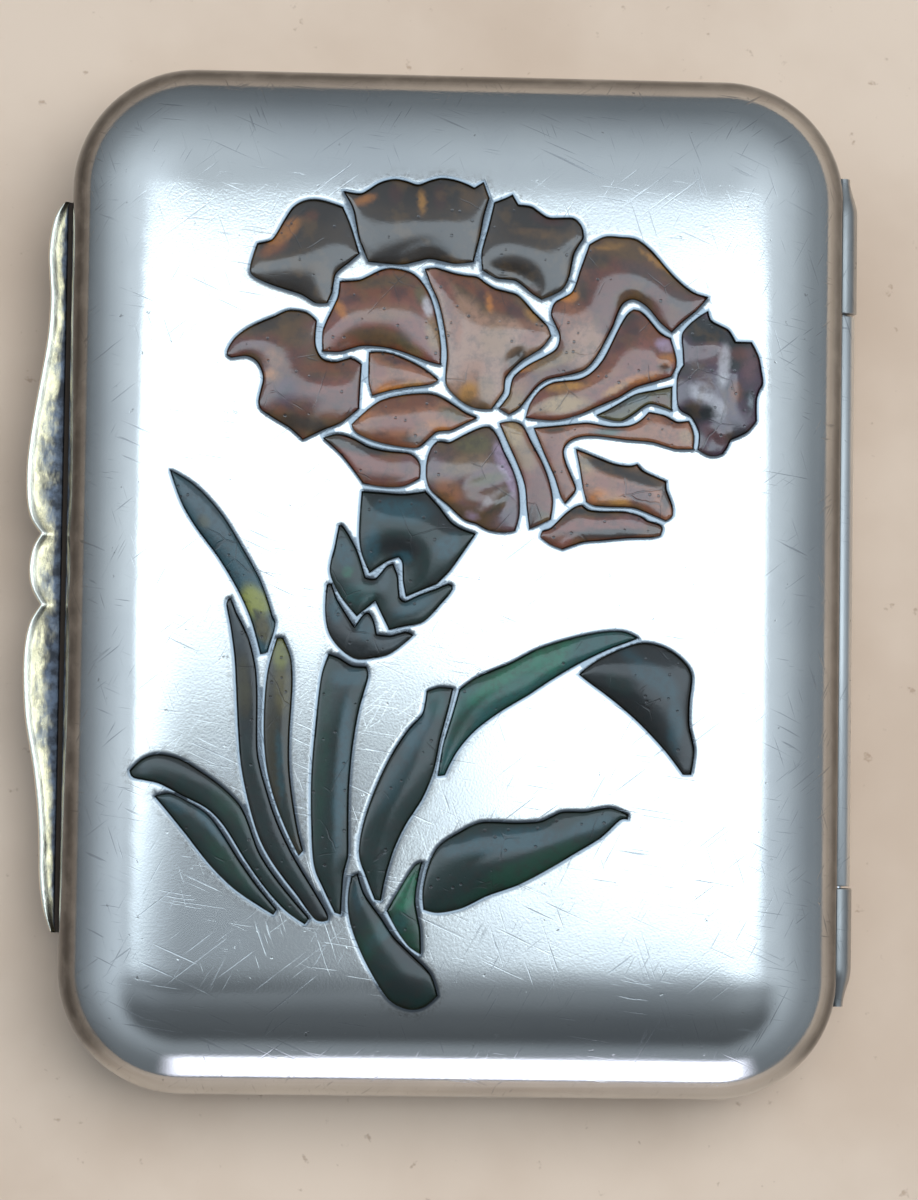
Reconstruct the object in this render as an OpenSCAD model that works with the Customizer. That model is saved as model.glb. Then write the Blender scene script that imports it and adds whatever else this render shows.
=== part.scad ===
// Hinged pocket needle case: two pillow-shaped silver shells, an enamelled
// carnation let into the lid, and flannel leaves holding needles inside.
// Millimetres. +X is the hinge side, +Y the flower's end, +Z out of the lid.
// The origin is the centre of the flat underside.

/* [Case] */
// Width from thumb side to hinge side
body_w = 39; // [36:0.5:44]
// Length along the hinge
body_l = 51.4; // [48:0.2:58]
// Height with the lid shut
body_h = 9.2; // [8:0.1:11]
// Plan radius of the corners
corner_r = 6.2; // [6:0.1:8]
// Thickness of the silver
wall_t = 0.6; // [0.5:0.05:0.8]
// Height of the straight wall beside the parting line
straight_h = 0.7; // [0.5:0.1:1.2]
// How far the rounded edge reaches in from the wall
edge_w = 5.4; // [4:0.1:5.8]
// Radius of the edge where it leaves the wall
edge_r = 3.0; // [2.4:0.1:3.2]

/* [Enamel] */
// Depth of the cells cut in the lid
cell_d = 0.32; // [0.2:0.01:0.4]
// How far the enamel lies below the silver
enamel_low = 0.03; // [0.01:0.01:0.08]

/* [Hinge] */
// Distance of the hinge pin outside the wall
hinge_out = 0.1; // [0.05:0.01:0.2]
// Radius of the lid's long knuckle
knuckle_mid_r = 0.5; // [0.4:0.01:0.55]
// Radius of the base's two short knuckles
knuckle_end_r = 0.72; // [0.6:0.01:0.75]
// Radius of the hinge pin
pin_r = 0.22; // [0.15:0.01:0.25]
// Where the long knuckle ends, towards the flower
knuckle_top_y = 14.0; // [12:0.5:16]
// Where the long knuckle ends, towards the roots
knuckle_low_y = -15.0; // [-16:0.5:-12]

/* [Inside] */
// Thickness of each flannel leaf
leaf_t = 0.8; // [0.5:0.1:1.0]
// Height from one leaf to the next
leaf_pitch = 1.8; // [1.6:0.1:2.0]
// Length of a leaf along the hinge
leaf_l = 41; // [38:0.5:43]
// Radius of a needle
needle_r = 0.27; // [0.2:0.01:0.35]

/* [Hidden] */
$fn = 48;
part_gap = 0.04;
run_gap = 0.03;
end_gap = 0.05;
groove_gap = 0.08;
mid_z = body_h / 2;
wall_z = mid_z + straight_h;
edge_h = body_h - wall_z;
crown_r = (pow(edge_w - edge_r, 2) + pow(edge_h, 2) - pow(edge_r, 2)) / (2 * (edge_h - edge_r));
edge_c = [corner_r - edge_r, wall_z];
crown_c = [corner_r - edge_w, body_h - crown_r];
join_dir = (edge_c - crown_c) / norm(edge_c - crown_c);
join_a = atan2(join_dir[1], join_dir[0]);
hinge_x = body_w / 2 + hinge_out;
knuckle_end_y = 19.4;
knuckle_taper = 1.6;
floor_z = wall_t;
ceiling_z = body_h - wall_t;
flat_w = body_w - 2 * edge_w;
flat_l = body_l - 2 * edge_w;
lining_t = 0.8;
lid_lining_t = 0.9;
leaf_x0 = -16.5;
leaf_x1 = 13;
leaf_z0 = 2.1;
spine_x0 = 13.45;
spine_x1 = 16;
spine_z1 = 6.3;
bar_t = 0.4;
rivet_x = 14.75;
rivet_y = 15;
rivet_r = 0.3;
rivet_head_r = 0.6;
bezel_gap = 0.15;
bezel_t = 0.35;
bezel_up = 1.2;
bezel_down = 1.3;
bezel_seat_h = 0.6;
rail_z0 = 2.9;
rail_z1 = 4.5;
rail_root = 0.4;
rail_y0 = -17.8;
rail_y1 = 19.0;
rail_lip = 0.42;
rail_floor = 4.12;
rail_groove = 0.45;
rivet_z0 = 3;
rivet_head_t = 0.25;
spine_bar_in = 0.15;
pin_out = 0.5;
blade_tip_slope = 8;
needle_sink = 0.4;

silver = [0.78, 0.79, 0.80];
gilt = [0.80, 0.64, 0.34];
petal_c = [0.55, 0.33, 0.30];
leaf_c = [0.13, 0.28, 0.25];
flannel_c = [0.86, 0.80, 0.68];
silk_c = [0.66, 0.30, 0.32];
steel_c = [0.62, 0.64, 0.66];

// ---- Outlines. A third value of 1 marks a sharp corner; the rest are curved through. ----

petals = [
    [[-10.5, 15.4], [-10.2, 16.4, 1], [-9.5, 16.6], [-9.1, 17.2], [-8.5, 18.2], [-7.8, 18.6],
        [-7.0, 18.6], [-6.0, 18.3, 1], [-5.6, 17.4], [-5.15, 16.0, 1], [-5.7, 15.5],
        [-6.3, 14.95], [-6.45, 14.1], [-6.7, 13.5, 1], [-7.3, 13.5], [-8.0, 13.9],
        [-9.3, 14.3], [-10.4, 14.8]],
    [[-6.0, 19.1, 1], [-5.1, 19.0], [-4.3, 19.5], [-3.4, 19.75], [-2.3, 19.5, 1], [-1.2, 19.85],
        [-0.2, 19.7], [0.5, 19.4, 1], [0.95, 19.7, 1], [1.25, 18.9, 1], [1.0, 18.0],
        [0.8, 16.9], [0.5, 15.7, 1], [-0.5, 15.6], [-1.7, 15.8], [-3.0, 15.5],
        [-4.7, 15.6, 1], [-5.2, 16.8], [-5.5, 18.2]],
    [[1.5, 18.7, 1], [2.0, 18.9], [2.4, 19.1, 1], [2.7, 18.6, 1], [3.4, 18.5], [4.2, 18.0],
        [5.4, 18.0], [5.9, 17.5], [5.95, 17.0, 1], [5.5, 16.2], [5.3, 15.2], [4.9, 14.4],
        [3.9, 13.9, 1], [3.4, 14.2], [2.6, 14.8], [1.7, 14.9], [0.95, 15.3, 1],
        [0.9, 16.2], [1.2, 17.4]],
    [[6.25, 16.7, 1], [7.0, 17.1], [7.8, 17.1], [8.6, 17.0], [9.4, 16.4], [10.1, 15.6],
        [10.8, 14.9], [11.5, 14.4], [12.2, 14.2, 1], [11.6, 13.5], [10.9, 12.9],
        [10.4, 12.4, 1], [9.8, 12.9], [9.2, 13.6], [8.5, 14.0], [7.9, 13.7], [7.5, 12.7],
        [7.1, 11.9], [6.6, 11.0], [6.0, 10.4], [5.0, 10.1], [4.2, 9.9], [3.6, 9.4],
        [2.9, 8.5], [2.35, 8.15, 1], [1.85, 8.45, 1], [2.35, 9.15], [2.55, 10.0],
        [3.4, 10.7], [4.6, 11.4], [4.8, 12.2], [4.4, 13.1], [4.6, 13.8], [5.4, 14.3],
        [5.8, 15.4]],
    [[8.5, 13.5], [9.1, 13.2], [9.8, 12.4], [10.35, 12.1, 1], [10.6, 11.3], [10.65, 10.75],
        [10.4, 10.2, 1], [9.5, 9.9], [8.6, 9.6], [7.8, 9.1], [6.7, 8.6], [5.8, 8.2],
        [4.6, 7.9], [3.2, 8.0, 1], [3.4, 8.7], [3.9, 9.4], [4.6, 9.8], [5.7, 9.95],
        [6.4, 10.3], [7.0, 11.0], [7.5, 12.0], [8.0, 13.0]],
    [[12.2, 13.5, 1], [12.4, 13.0], [13.2, 12.6], [13.6, 12.0, 1], [14.4, 12.0, 1],
        [14.8, 11.2], [15.0, 10.0, 1], [14.7, 9.2], [14.7, 8.1, 1], [14.2, 7.5],
        [13.4, 7.1, 1], [13.0, 6.4], [12.3, 6.3], [11.75, 6.6, 1], [11.8, 7.4],
        [11.4, 8.2], [10.9, 8.5], [10.7, 9.0], [10.7, 10.2], [11.0, 10.8, 1],
        [10.95, 11.6], [10.95, 12.4], [11.6, 13.1]],
    [[6.7, 8.2, 1], [7.3, 8.5], [8.05, 8.95], [8.7, 9.3], [9.6, 9.5], [10.45, 9.7, 1],
        [10.45, 8.5, 1], [9.9, 8.7], [9.3, 8.8], [8.7, 8.4], [8.0, 7.95], [7.3, 8.0]],
    [[3.6, 7.5, 1], [4.5, 7.6], [5.3, 7.7], [6.3, 7.8], [7.3, 7.65], [8.3, 7.7], [8.9, 8.0],
        [9.3, 8.4, 1], [10.1, 8.25], [10.7, 7.95], [11.3, 8.0, 1], [11.55, 7.4],
        [11.55, 6.6, 1], [10.6, 6.6], [9.5, 6.9], [8.2, 7.0], [6.8, 7.15], [5.9, 7.1],
        [5.3, 6.8], [5.1, 6.3], [5.3, 5.6], [5.65, 4.8], [5.7, 4.4], [5.2, 3.8, 1],
        [4.95, 4.2], [4.65, 5.1], [4.15, 6.2]],
    [[1.9, 7.7, 1], [2.5, 7.8], [3.05, 7.6], [3.5, 6.8], [4.05, 5.8], [4.4, 4.9],
        [4.6, 3.9], [4.5, 3.0, 1], [3.9, 2.7], [3.45, 2.5, 1], [3.3, 3.6], [3.2, 4.6],
        [2.85, 5.6], [2.35, 6.7]],
    [[-1.15, 6.75], [-0.6, 6.7], [0.0, 7.0], [0.8, 7.4], [1.4, 7.5], [1.85, 7.0],
        [2.15, 6.3], [2.6, 5.4], [2.9, 4.4], [2.95, 3.2], [2.75, 2.4, 1], [2.2, 2.3],
        [1.4, 2.4], [0.8, 2.7], [0.2, 2.9], [-0.6, 3.6], [-1.5, 4.4], [-1.7, 5.3],
        [-1.55, 6.2]],
    [[-5.4, 7.5, 1], [-4.9, 8.0], [-4.1, 8.65], [-3.2, 8.95], [-2.1, 9.1], [-1.3, 9.05],
        [-0.5, 8.65], [0.2, 8.2], [0.8, 7.95, 1], [0.2, 7.65], [-0.5, 7.3], [-1.2, 7.2],
        [-1.85, 6.6], [-2.3, 6.4], [-3.3, 6.5], [-4.3, 6.72], [-5.15, 7.1]],
    [[-6.8, 6.8, 1], [-6.1, 7.0], [-5.3, 6.8], [-4.5, 6.4], [-3.5, 6.2], [-2.5, 6.1],
        [-2.0, 5.6], [-2.0, 4.9, 1], [-2.8, 4.5], [-3.8, 4.45], [-4.8, 4.6, 1],
        [-5.4, 5.4], [-6.0, 6.1]],
    [[-11.6, 11.0], [-11.2, 11.7], [-10.4, 12.3], [-9.3, 12.8], [-8.6, 13.1], [-7.7, 13.0],
        [-7.2, 12.6, 1], [-7.25, 11.5], [-6.9, 10.75], [-6.2, 10.6], [-5.5, 10.8],
        [-4.95, 10.5, 1], [-5.0, 9.5], [-5.05, 8.3, 1], [-5.9, 7.6], [-6.8, 7.2],
        [-7.8, 6.7, 1], [-8.5, 7.3], [-9.8, 8.1], [-10.0, 8.7], [-9.8, 9.7],
        [-10.1, 10.5], [-10.7, 10.8], [-11.4, 10.7]],
    [[-6.1, 14.6, 1], [-5.1, 14.7], [-4.3, 15.1], [-3.6, 15.3], [-2.6, 15.1], [-2.0, 14.6],
        [-1.55, 13.8], [-1.25, 12.7], [-1.05, 11.5], [-1.05, 10.55, 1], [-1.7, 10.7],
        [-2.8, 11.1], [-3.8, 11.35], [-5.0, 11.4], [-6.0, 11.1], [-6.9, 11.1, 1],
        [-6.9, 12.1], [-6.6, 12.9], [-6.2, 13.8]],
    [[-4.6, 11.1, 1], [-3.7, 11.1], [-2.8, 10.8], [-1.9, 10.35], [-1.15, 9.8, 1],
        [-1.6, 9.55], [-2.6, 9.4], [-3.6, 9.2], [-4.4, 8.95, 1], [-4.6, 9.7]],
    [[-1.9, 15.3, 1], [-1.3, 15.35], [-0.4, 15.1], [0.7, 14.95, 1], [1.6, 14.4],
        [2.7, 14.1], [3.5, 13.3], [4.2, 12.6], [4.4, 12.1, 1], [3.9, 11.45], [3.0, 10.85],
        [2.2, 10.0], [2.1, 9.3], [1.5, 8.4, 1], [0.9, 8.4], [0.25, 8.6], [-0.4, 9.1],
        [-0.8, 9.75], [-0.75, 11.0], [-0.9, 12.3], [-1.2, 13.6], [-1.6, 14.5]],
    [[5.7, 6.5, 1], [6.1, 6.35], [6.9, 6.05], [7.6, 5.8], [8.35, 5.7], [8.75, 5.8, 1],
        [9.1, 5.45], [10.2, 4.97, 1], [10.25, 4.5], [10.5, 3.85], [10.55, 3.3],
        [10.2, 3.02, 1], [9.5, 3.3], [8.6, 3.62], [7.6, 3.66], [6.7, 3.7], [6.25, 3.9, 1],
        [6.05, 4.7], [5.9, 5.6]],
    [[4.0, 2.1, 1], [4.1, 2.4], [4.5, 2.55], [5.2, 3.25], [5.7, 3.62], [6.05, 3.72, 1],
        [6.4, 3.48], [7.2, 3.42], [8.2, 3.42], [9.0, 3.2], [9.3, 3.0], [9.85, 2.85],
        [10.05, 2.6], [9.95, 2.3, 1], [9.5, 2.18], [8.4, 2.13], [7.0, 1.98], [6.1, 1.88],
        [5.1, 1.52, 1], [4.5, 1.75]]];

calyx = [
    [[-4.85, 4.2, 1], [-3.9, 4.15], [-2.8, 4.1], [-1.7, 4.25, 1], [-1.0, 3.5], [-0.4, 2.75],
        [0.2, 2.4], [0.8, 2.2, 1], [0.6, 1.9], [0.0, 1.0], [-0.5, 0.3], [-1.1, -0.3, 1],
        [-1.8, -0.6], [-2.6, -0.95, 1], [-2.75, -0.2], [-2.8, 0.7], [-3.0, 1.0, 1],
        [-3.6, 0.75], [-4.4, 0.2, 1], [-4.8, 1.1], [-4.95, 2.2]],
    [[-5.95, 2.5, 1], [-5.7, 2.4], [-5.05, 1.3], [-4.6, -0.05, 1], [-4.1, -0.1], [-3.6, 0.5],
        [-3.25, 0.65, 1], [-3.0, 0.0], [-2.9, -1.0], [-2.6, -1.2, 1], [-1.9, -0.85],
        [-1.1, -0.55], [-0.5, -0.3], [-0.3, -0.55], [-0.8, -1.2], [-1.7, -2.15],
        [-2.6, -2.4], [-3.4, -2.6, 1], [-3.8, -1.8], [-4.1, -1.2, 1], [-5.0, -1.95, 1],
        [-5.8, -1.0], [-6.35, 0.2], [-6.15, 1.4]],
    [[-6.5, -0.45, 1], [-6.25, -0.4], [-6.0, -1.1], [-5.5, -1.9], [-5.1, -2.5, 1],
        [-4.7, -1.9], [-4.4, -1.8], [-4.15, -2.2], [-4.0, -2.85, 1], [-3.3, -2.9],
        [-2.6, -2.7], [-2.2, -2.85, 1], [-2.7, -3.3], [-3.4, -3.8], [-4.2, -4.0],
        [-5.0, -4.05], [-5.75, -3.6], [-6.35, -2.8], [-6.55, -1.7]]];

stalk = [[-6.35, -3.85, 1], [-5.8, -4.05], [-5.2, -4.4], [-4.5, -4.45, 1], [-4.4, -5.0],
    [-4.8, -6.5], [-5.1, -8.4], [-5.25, -10.5], [-5.25, -12.6], [-5.25, -13.8],
    [-5.45, -14.7], [-5.55, -16.6, 1], [-5.85, -16.5, 1], [-6.5, -15.2], [-6.9, -14.2],
    [-7.05, -12.5], [-7.1, -10.0], [-6.95, -7.5], [-6.7, -5.0]];

blades = [
    [[-14.3, 5.1, 1], [-13.4, 4.6], [-12.6, 3.95], [-11.6, 2.8], [-10.6, 1.2], [-9.8, -0.2],
        [-9.3, -1.5], [-9.0, -2.5, 1], [-9.35, -3.8, 1], [-9.7, -3.9, 1], [-10.2, -2.2],
        [-10.9, -0.7], [-11.9, 0.9], [-12.9, 2.2], [-13.7, 3.5]],
    [[-11.4, -1.5], [-11.2, -1.2], [-10.9, -1.9], [-10.3, -3.1], [-9.9, -4.7], [-9.8, -6.5],
        [-9.75, -8.7], [-9.3, -10.5], [-8.7, -12.2], [-7.9, -13.8], [-7.1, -15.1],
        [-6.25, -16.5], [-6.2, -16.9, 1], [-6.8, -16.85], [-7.7, -15.7], [-8.8, -14.3],
        [-9.6, -12.9], [-10.2, -11.0], [-10.6, -9.0], [-10.8, -6.5], [-10.95, -4.2],
        [-11.2, -2.5]],
    [[-8.9, -3.1, 1], [-8.6, -3.1, 1], [-8.2, -4.1], [-8.1, -5.5], [-8.2, -7.5], [-8.2, -9.3],
        [-8.0, -11.0], [-7.7, -12.6], [-7.45, -13.5, 1], [-7.65, -13.75, 1], [-8.05, -13.0],
        [-8.75, -11.4], [-9.25, -9.7], [-9.45, -8.0], [-9.45, -6.2], [-9.3, -4.6]],
    [[-16.0, -9.7, 1], [-15.4, -9.15], [-14.6, -8.9], [-13.6, -9.1], [-12.7, -9.6],
        [-11.6, -10.35], [-10.6, -11.3], [-10.1, -12.3], [-9.6, -13.6], [-8.8, -14.8],
        [-7.9, -15.9], [-7.1, -16.8, 1], [-7.3, -17.1, 1], [-8.3, -16.4], [-9.4, -15.2],
        [-10.4, -13.8], [-11.3, -12.4], [-12.2, -11.5], [-13.4, -10.9], [-14.6, -10.3],
        [-15.8, -10.05]],
    [[-14.75, -10.95, 1], [-14.0, -10.8], [-13.1, -11.2], [-12.15, -11.8], [-11.45, -12.65],
        [-10.6, -13.95], [-9.7, -15.2], [-8.7, -16.4, 1], [-8.85, -16.65, 1], [-9.6, -16.2],
        [-10.8, -15.4], [-12.0, -14.25], [-13.1, -12.9], [-14.1, -11.7]],
    [[-1.5, -5.6, 1], [-0.9, -5.4], [-0.2, -5.45, 1], [-0.4, -6.4], [-0.8, -8.0],
        [-1.1, -9.5], [-1.65, -10.9], [-2.4, -12.1], [-3.0, -13.4], [-3.4, -14.8],
        [-3.6, -15.9, 1], [-3.9, -15.85, 1], [-4.4, -14.6], [-4.7, -13.6], [-4.5, -12.1],
        [-3.9, -10.3], [-3.1, -8.6], [-2.3, -7.4], [-1.7, -6.7]],
    [[-0.9, -9.75, 1], [-0.55, -9.7, 1], [0.0, -8.6], [0.9, -7.5], [2.2, -6.5], [3.5, -5.7],
        [4.6, -4.95], [6.0, -4.1], [7.4, -3.4], [8.3, -3.05], [8.9, -2.8, 1], [8.1, -2.5],
        [6.8, -2.6], [5.2, -3.0], [3.8, -3.5], [2.6, -4.15], [1.0, -4.85], [0.1, -5.5, 1],
        [-0.25, -6.8], [-0.65, -8.2]],
    [[6.0, -4.65, 1], [6.9, -3.95], [8.1, -3.35], [9.2, -3.05], [10.3, -3.3], [11.2, -3.95],
        [11.6, -4.7], [11.5, -5.9], [11.5, -7.1], [11.75, -8.3], [11.6, -9.5, 1],
        [11.2, -9.5, 1], [10.3, -8.35], [9.0, -7.0], [7.7, -5.9], [6.6, -5.1]],
    [[-1.55, -15.4], [-1.5, -16.3, 1], [-0.8, -16.45], [0.4, -16.2], [1.6, -15.6],
        [3.1, -15.05], [4.6, -14.25], [6.0, -13.4], [7.2, -12.65], [8.1, -11.8],
        [8.5, -11.75, 1], [8.5, -11.5, 1], [7.6, -11.2], [6.4, -11.4], [5.2, -11.45],
        [4.2, -11.9], [2.8, -12.0], [1.3, -12.0], [0.2, -12.5], [-0.8, -13.2],
        [-1.3, -14.2]],
    [[-1.6, -14.0, 1], [-1.95, -14.15], [-2.5, -15.0], [-3.3, -16.4, 1], [-2.8, -17.3],
        [-2.2, -18.1], [-1.6, -18.5, 1], [-1.65, -17.3], [-1.9, -16.0], [-1.8, -14.9]],
    [[-5.05, -14.75, 1], [-4.75, -14.6, 1], [-4.4, -15.6], [-3.6, -16.7], [-2.9, -17.7],
        [-1.8, -18.75], [-1.1, -19.5], [-0.75, -20.5, 1], [-1.3, -21.0], [-2.0, -21.2],
        [-2.9, -20.9], [-3.6, -20.1], [-4.5, -18.5], [-5.1, -16.9], [-5.2, -15.7]]];

// Outer edge of the thumb piece, from the flower's end to the roots' end.
rail_edge = [[-19.95, 19.0, 1], [-20.5, 18.2], [-20.75, 16.4], [-20.62, 14.3], [-20.72, 12.2],
    [-21.05, 10.0], [-21.4, 7.8], [-21.62, 5.8], [-21.6, 4.0], [-21.35, 2.9],
    [-20.85, 2.2, 1], [-21.25, 1.5], [-21.42, 0.4], [-21.25, -0.6], [-20.8, -1.4, 1],
    [-21.3, -2.2], [-21.57, -3.5], [-21.6, -5.2], [-21.45, -7.2], [-21.08, -9.2],
    [-20.8, -11.2], [-20.65, -13.2], [-20.6, -15.0], [-20.38, -16.6], [-19.95, -17.8, 1]];

// ---- Helpers ----

function flat(p) = [p[0], p[1]];
function sharp(p) = len(p) > 2;
// Slope at point i of a closed outline, along the span that starts (side 1) or ends (side -1) there.
function slope(o, i, side) =
    let (n = len(o), p = flat(o[i]), a = flat(o[(i + n - 1) % n]), b = flat(o[(i + 1) % n]))
    sharp(o[i]) ? (side > 0 ? b - p : p - a) : (b - a) / 2;
function closed_curve(o) =
    [for (i = [0 : len(o) - 1])
        let (j = (i + 1) % len(o), p = flat(o[i]), q = flat(o[j]))
        each (sharp(o[i]) && sharp(o[j])) ? [p]
            : [p, (p + q) / 2 + (slope(o, i, 1) - slope(o, j, -1)) / 8]];

// Half section of a shell inset by t, from the corner's centre (x = 0) out to the wall.
module pillow(t) {
    join_pt = crown_c + join_dir * (crown_r - t);
    edge_in = edge_c + 0.6 * (edge_r - t) * [cos(join_a / 2), sin(join_a / 2)];
    polygon([[0, mid_z + part_gap], [corner_r - t, mid_z + part_gap], [corner_r - t, wall_z],
        edge_in, join_pt, [crown_c[0], body_h - t], [0, body_h - t]]);
    intersection() {
        translate(edge_c) circle(r = edge_r - t);
        polygon([edge_c, edge_c + [3 * edge_r, 0], edge_c + 3 * edge_r * join_dir]);
    }
    intersection() {
        translate(crown_c) circle(r = crown_r - t);
        polygon([join_pt - 0.5 * join_dir, crown_c + 2 * crown_r * join_dir,
            crown_c + [0, 2 * crown_r], [crown_c[0], wall_z]]);
    }
}

// Carries a half section round the rounded rectangle of the case.
module around() {
    for (k = [0 : 3]) {
        half = (k % 2 == 0 ? body_w : body_l) / 2 - corner_r;
        run = (k % 2 == 0 ? body_l : body_w) - 2 * corner_r;
        rotate([0, 0, 90 * k]) translate([half, 0, 0]) rotate([90, 0, 0])
            linear_extrude(height = run, center = true) children();
        rotate([0, 0, 90 * k]) translate([half, run / 2, 0])
            rotate_extrude(angle = 90) children();
    }
}

module shell_blank() {
    around() difference() {
        pillow(0);
        pillow(wall_t);
    }
    translate([-body_w / 2 + corner_r, -body_l / 2 + corner_r, ceiling_z])
        cube([body_w - 2 * corner_r, body_l - 2 * corner_r, wall_t]);
}

module slab(w, l, z0, z1) {
    translate([-w / 2, -l / 2, z0]) cube([w, l, z1 - z0]);
}

// A rod along Y centred on the hinge.
module hinge_rod(r, y0, y1) {
    translate([hinge_x, y1, mid_z]) rotate([90, 0, 0]) cylinder(r = r, h = y1 - y0);
}

module cell(o, z0, z1) {
    translate([0, 0, z0]) linear_extrude(height = z1 - z0) polygon(closed_curve(o));
}

module enamel(o, c) {
    color(c) cell(o, body_h - cell_d, body_h - enamel_low);
}

// ---- Base ----

module base_shell() {
    color(silver) difference() {
        translate([0, 0, body_h]) mirror([0, 0, 1]) shell_blank();
        hinge_rod(knuckle_mid_r + groove_gap, knuckle_low_y, knuckle_top_y);
        hinge_rod(knuckle_end_r, knuckle_top_y, knuckle_end_y + knuckle_taper);
        hinge_rod(knuckle_end_r, -knuckle_end_y - knuckle_taper, knuckle_low_y);
    }
}

module base_bezel() {
    in0 = corner_r - wall_t - bezel_gap;
    in1 = in0 - bezel_t;
    color(gilt) around() {
        translate([in1, mid_z - bezel_down]) square([bezel_t, bezel_down + bezel_up]);
        translate([in0 - 0.01, wall_z - 2 * straight_h]) square([bezel_gap + 0.01, bezel_seat_h]);
    }
}

module thumb_piece() {
    in_x = -body_w / 2 + rail_root;
    outer = closed_curve(concat([[in_x, rail_y0, 1], [in_x, rail_y1, 1]], rail_edge));
    color(gilt) difference() {
        translate([0, 0, rail_z0]) linear_extrude(height = rail_z1 - rail_z0) polygon(outer);
        translate([rail_lip, 0, rail_floor]) linear_extrude(height = 1) polygon(outer);
        translate([-body_w / 2 - rail_groove, -25, mid_z - straight_h]) cube([1, 50, 2]);
        translate([-body_w / 2 + edge_r, 25, mid_z - straight_h]) rotate([90, 0, 0])
            cylinder(r = edge_r, h = 50);
    }
}

module end_knuckle() {
    color(silver) difference() {
        union() {
            hinge_rod(knuckle_end_r, 0, knuckle_end_y);
            translate([hinge_x, knuckle_end_y, mid_z]) rotate([-90, 0, 0])
                cylinder(r1 = knuckle_end_r, r2 = 0.45 * knuckle_end_r, h = knuckle_taper);
        }
        hinge_rod(pin_r, -1, knuckle_end_y + pin_out + 0.1);
        children();
    }
}

module hinge_knuckle_top() {
    end_knuckle() hinge_rod(2 * knuckle_end_r, -1, knuckle_top_y + end_gap);
}

module hinge_knuckle_bottom() {
    mirror([0, 1, 0]) end_knuckle() hinge_rod(2 * knuckle_end_r, -1, end_gap - knuckle_low_y);
}

module hinge_pin() {
    color(steel_c) hinge_rod(pin_r, -knuckle_end_y - pin_out, knuckle_end_y + pin_out);
}

module lining_card() {
    color(silk_c) slab(flat_w, flat_l, floor_z, floor_z + lining_t);
}

module rivet_rods(r, z0, z1) {
    for (s = [-1, 1]) translate([rivet_x, s * rivet_y, z0]) cylinder(r = r, h = z1 - z0);
}

module leaf_spine() {
    color(flannel_c) difference() {
        translate([spine_x0, -leaf_l / 2, floor_z + lining_t])
            cube([spine_x1 - spine_x0, leaf_l, spine_z1 - floor_z - lining_t]);
        rivet_rods(rivet_r, rivet_z0, spine_z1 + 1);
    }
}

module spine_bar() {
    color(silver) difference() {
        translate([spine_x0 + spine_bar_in, 0.5 - leaf_l / 2, spine_z1])
            cube([spine_x1 - spine_x0 - 2 * spine_bar_in, leaf_l - 1, bar_t]);
        rivet_rods(rivet_r, spine_z1 - 1, spine_z1 + 1);
    }
}

module spine_rivets() {
    color(silver) {
        rivet_rods(rivet_r, rivet_z0, spine_z1 + bar_t);
        rivet_rods(rivet_head_r, spine_z1 + bar_t, spine_z1 + bar_t + rivet_head_t);
    }
}

// ---- Lid ----

module lid_shell() {
    color(silver) difference() {
        shell_blank();
        for (o = concat(petals, calyx, [stalk], blades)) cell(o, body_h - cell_d, body_h + 1);
        hinge_rod(knuckle_mid_r, knuckle_low_y, knuckle_top_y);
        hinge_rod(knuckle_end_r + groove_gap, knuckle_top_y, body_l / 2 - 1);
        hinge_rod(knuckle_end_r + groove_gap, 1 - body_l / 2, knuckle_low_y);
    }
}

module hinge_knuckle_middle() {
    color(silver) difference() {
        hinge_rod(knuckle_mid_r, knuckle_low_y + end_gap, knuckle_top_y - end_gap);
        hinge_rod(pin_r + run_gap, knuckle_low_y, knuckle_top_y);
    }
}

module lid_lining() {
    color(silk_c) slab(flat_w, flat_l, ceiling_z - lid_lining_t, ceiling_z);
}

// The tip of this blade runs down the rounded edge, so its top is cut to the slope there.
module sloped_blade(o) {
    color(leaf_c) difference() {
        cell(o, body_h - cell_d, body_h - enamel_low);
        translate([-flat_w / 2, -20, body_h - enamel_low]) rotate([0, -blade_tip_slope, 0])
            translate([-5, 0, 0]) cube([5, 20, 2]);
    }
}

// ---- Leaves and needles ----

module flannel_leaf(k) {
    z = leaf_z0 + (k - 1) * leaf_pitch;
    color(flannel_c) {
        translate([leaf_x0, -leaf_l / 2, z - leaf_t / 2]) cube([leaf_x1 - leaf_x0, leaf_l, leaf_t]);
        translate([leaf_x1, leaf_l / 2, z]) rotate([90, 0, 0]) cylinder(r = leaf_t / 2, h = leaf_l);
    }
}

// A needle on leaf k: length n, standing at x, its eye towards side s of the case.
module needle(k, x, y, n, s) {
    z = leaf_z0 + (k - 1) * leaf_pitch + leaf_t / 2 + (1 - needle_sink) * needle_r;
    tip = 0.28 * n;
    color(steel_c) translate([x, y, z]) rotate([s * 90, 0, 0]) difference() {
        rotate_extrude() polygon([[0, -n / 2], [0.5 * needle_r, 0.4 - n / 2],
            [needle_r, 1.6 - n / 2], [needle_r, n / 2 - tip], [0.6 * needle_r, n / 2 - tip / 3],
            [0, n / 2]]);
        translate([-1, -0.3 * needle_r, 0.8 - n / 2]) cube([2, 0.6 * needle_r, 1.3]);
    }
}

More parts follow.
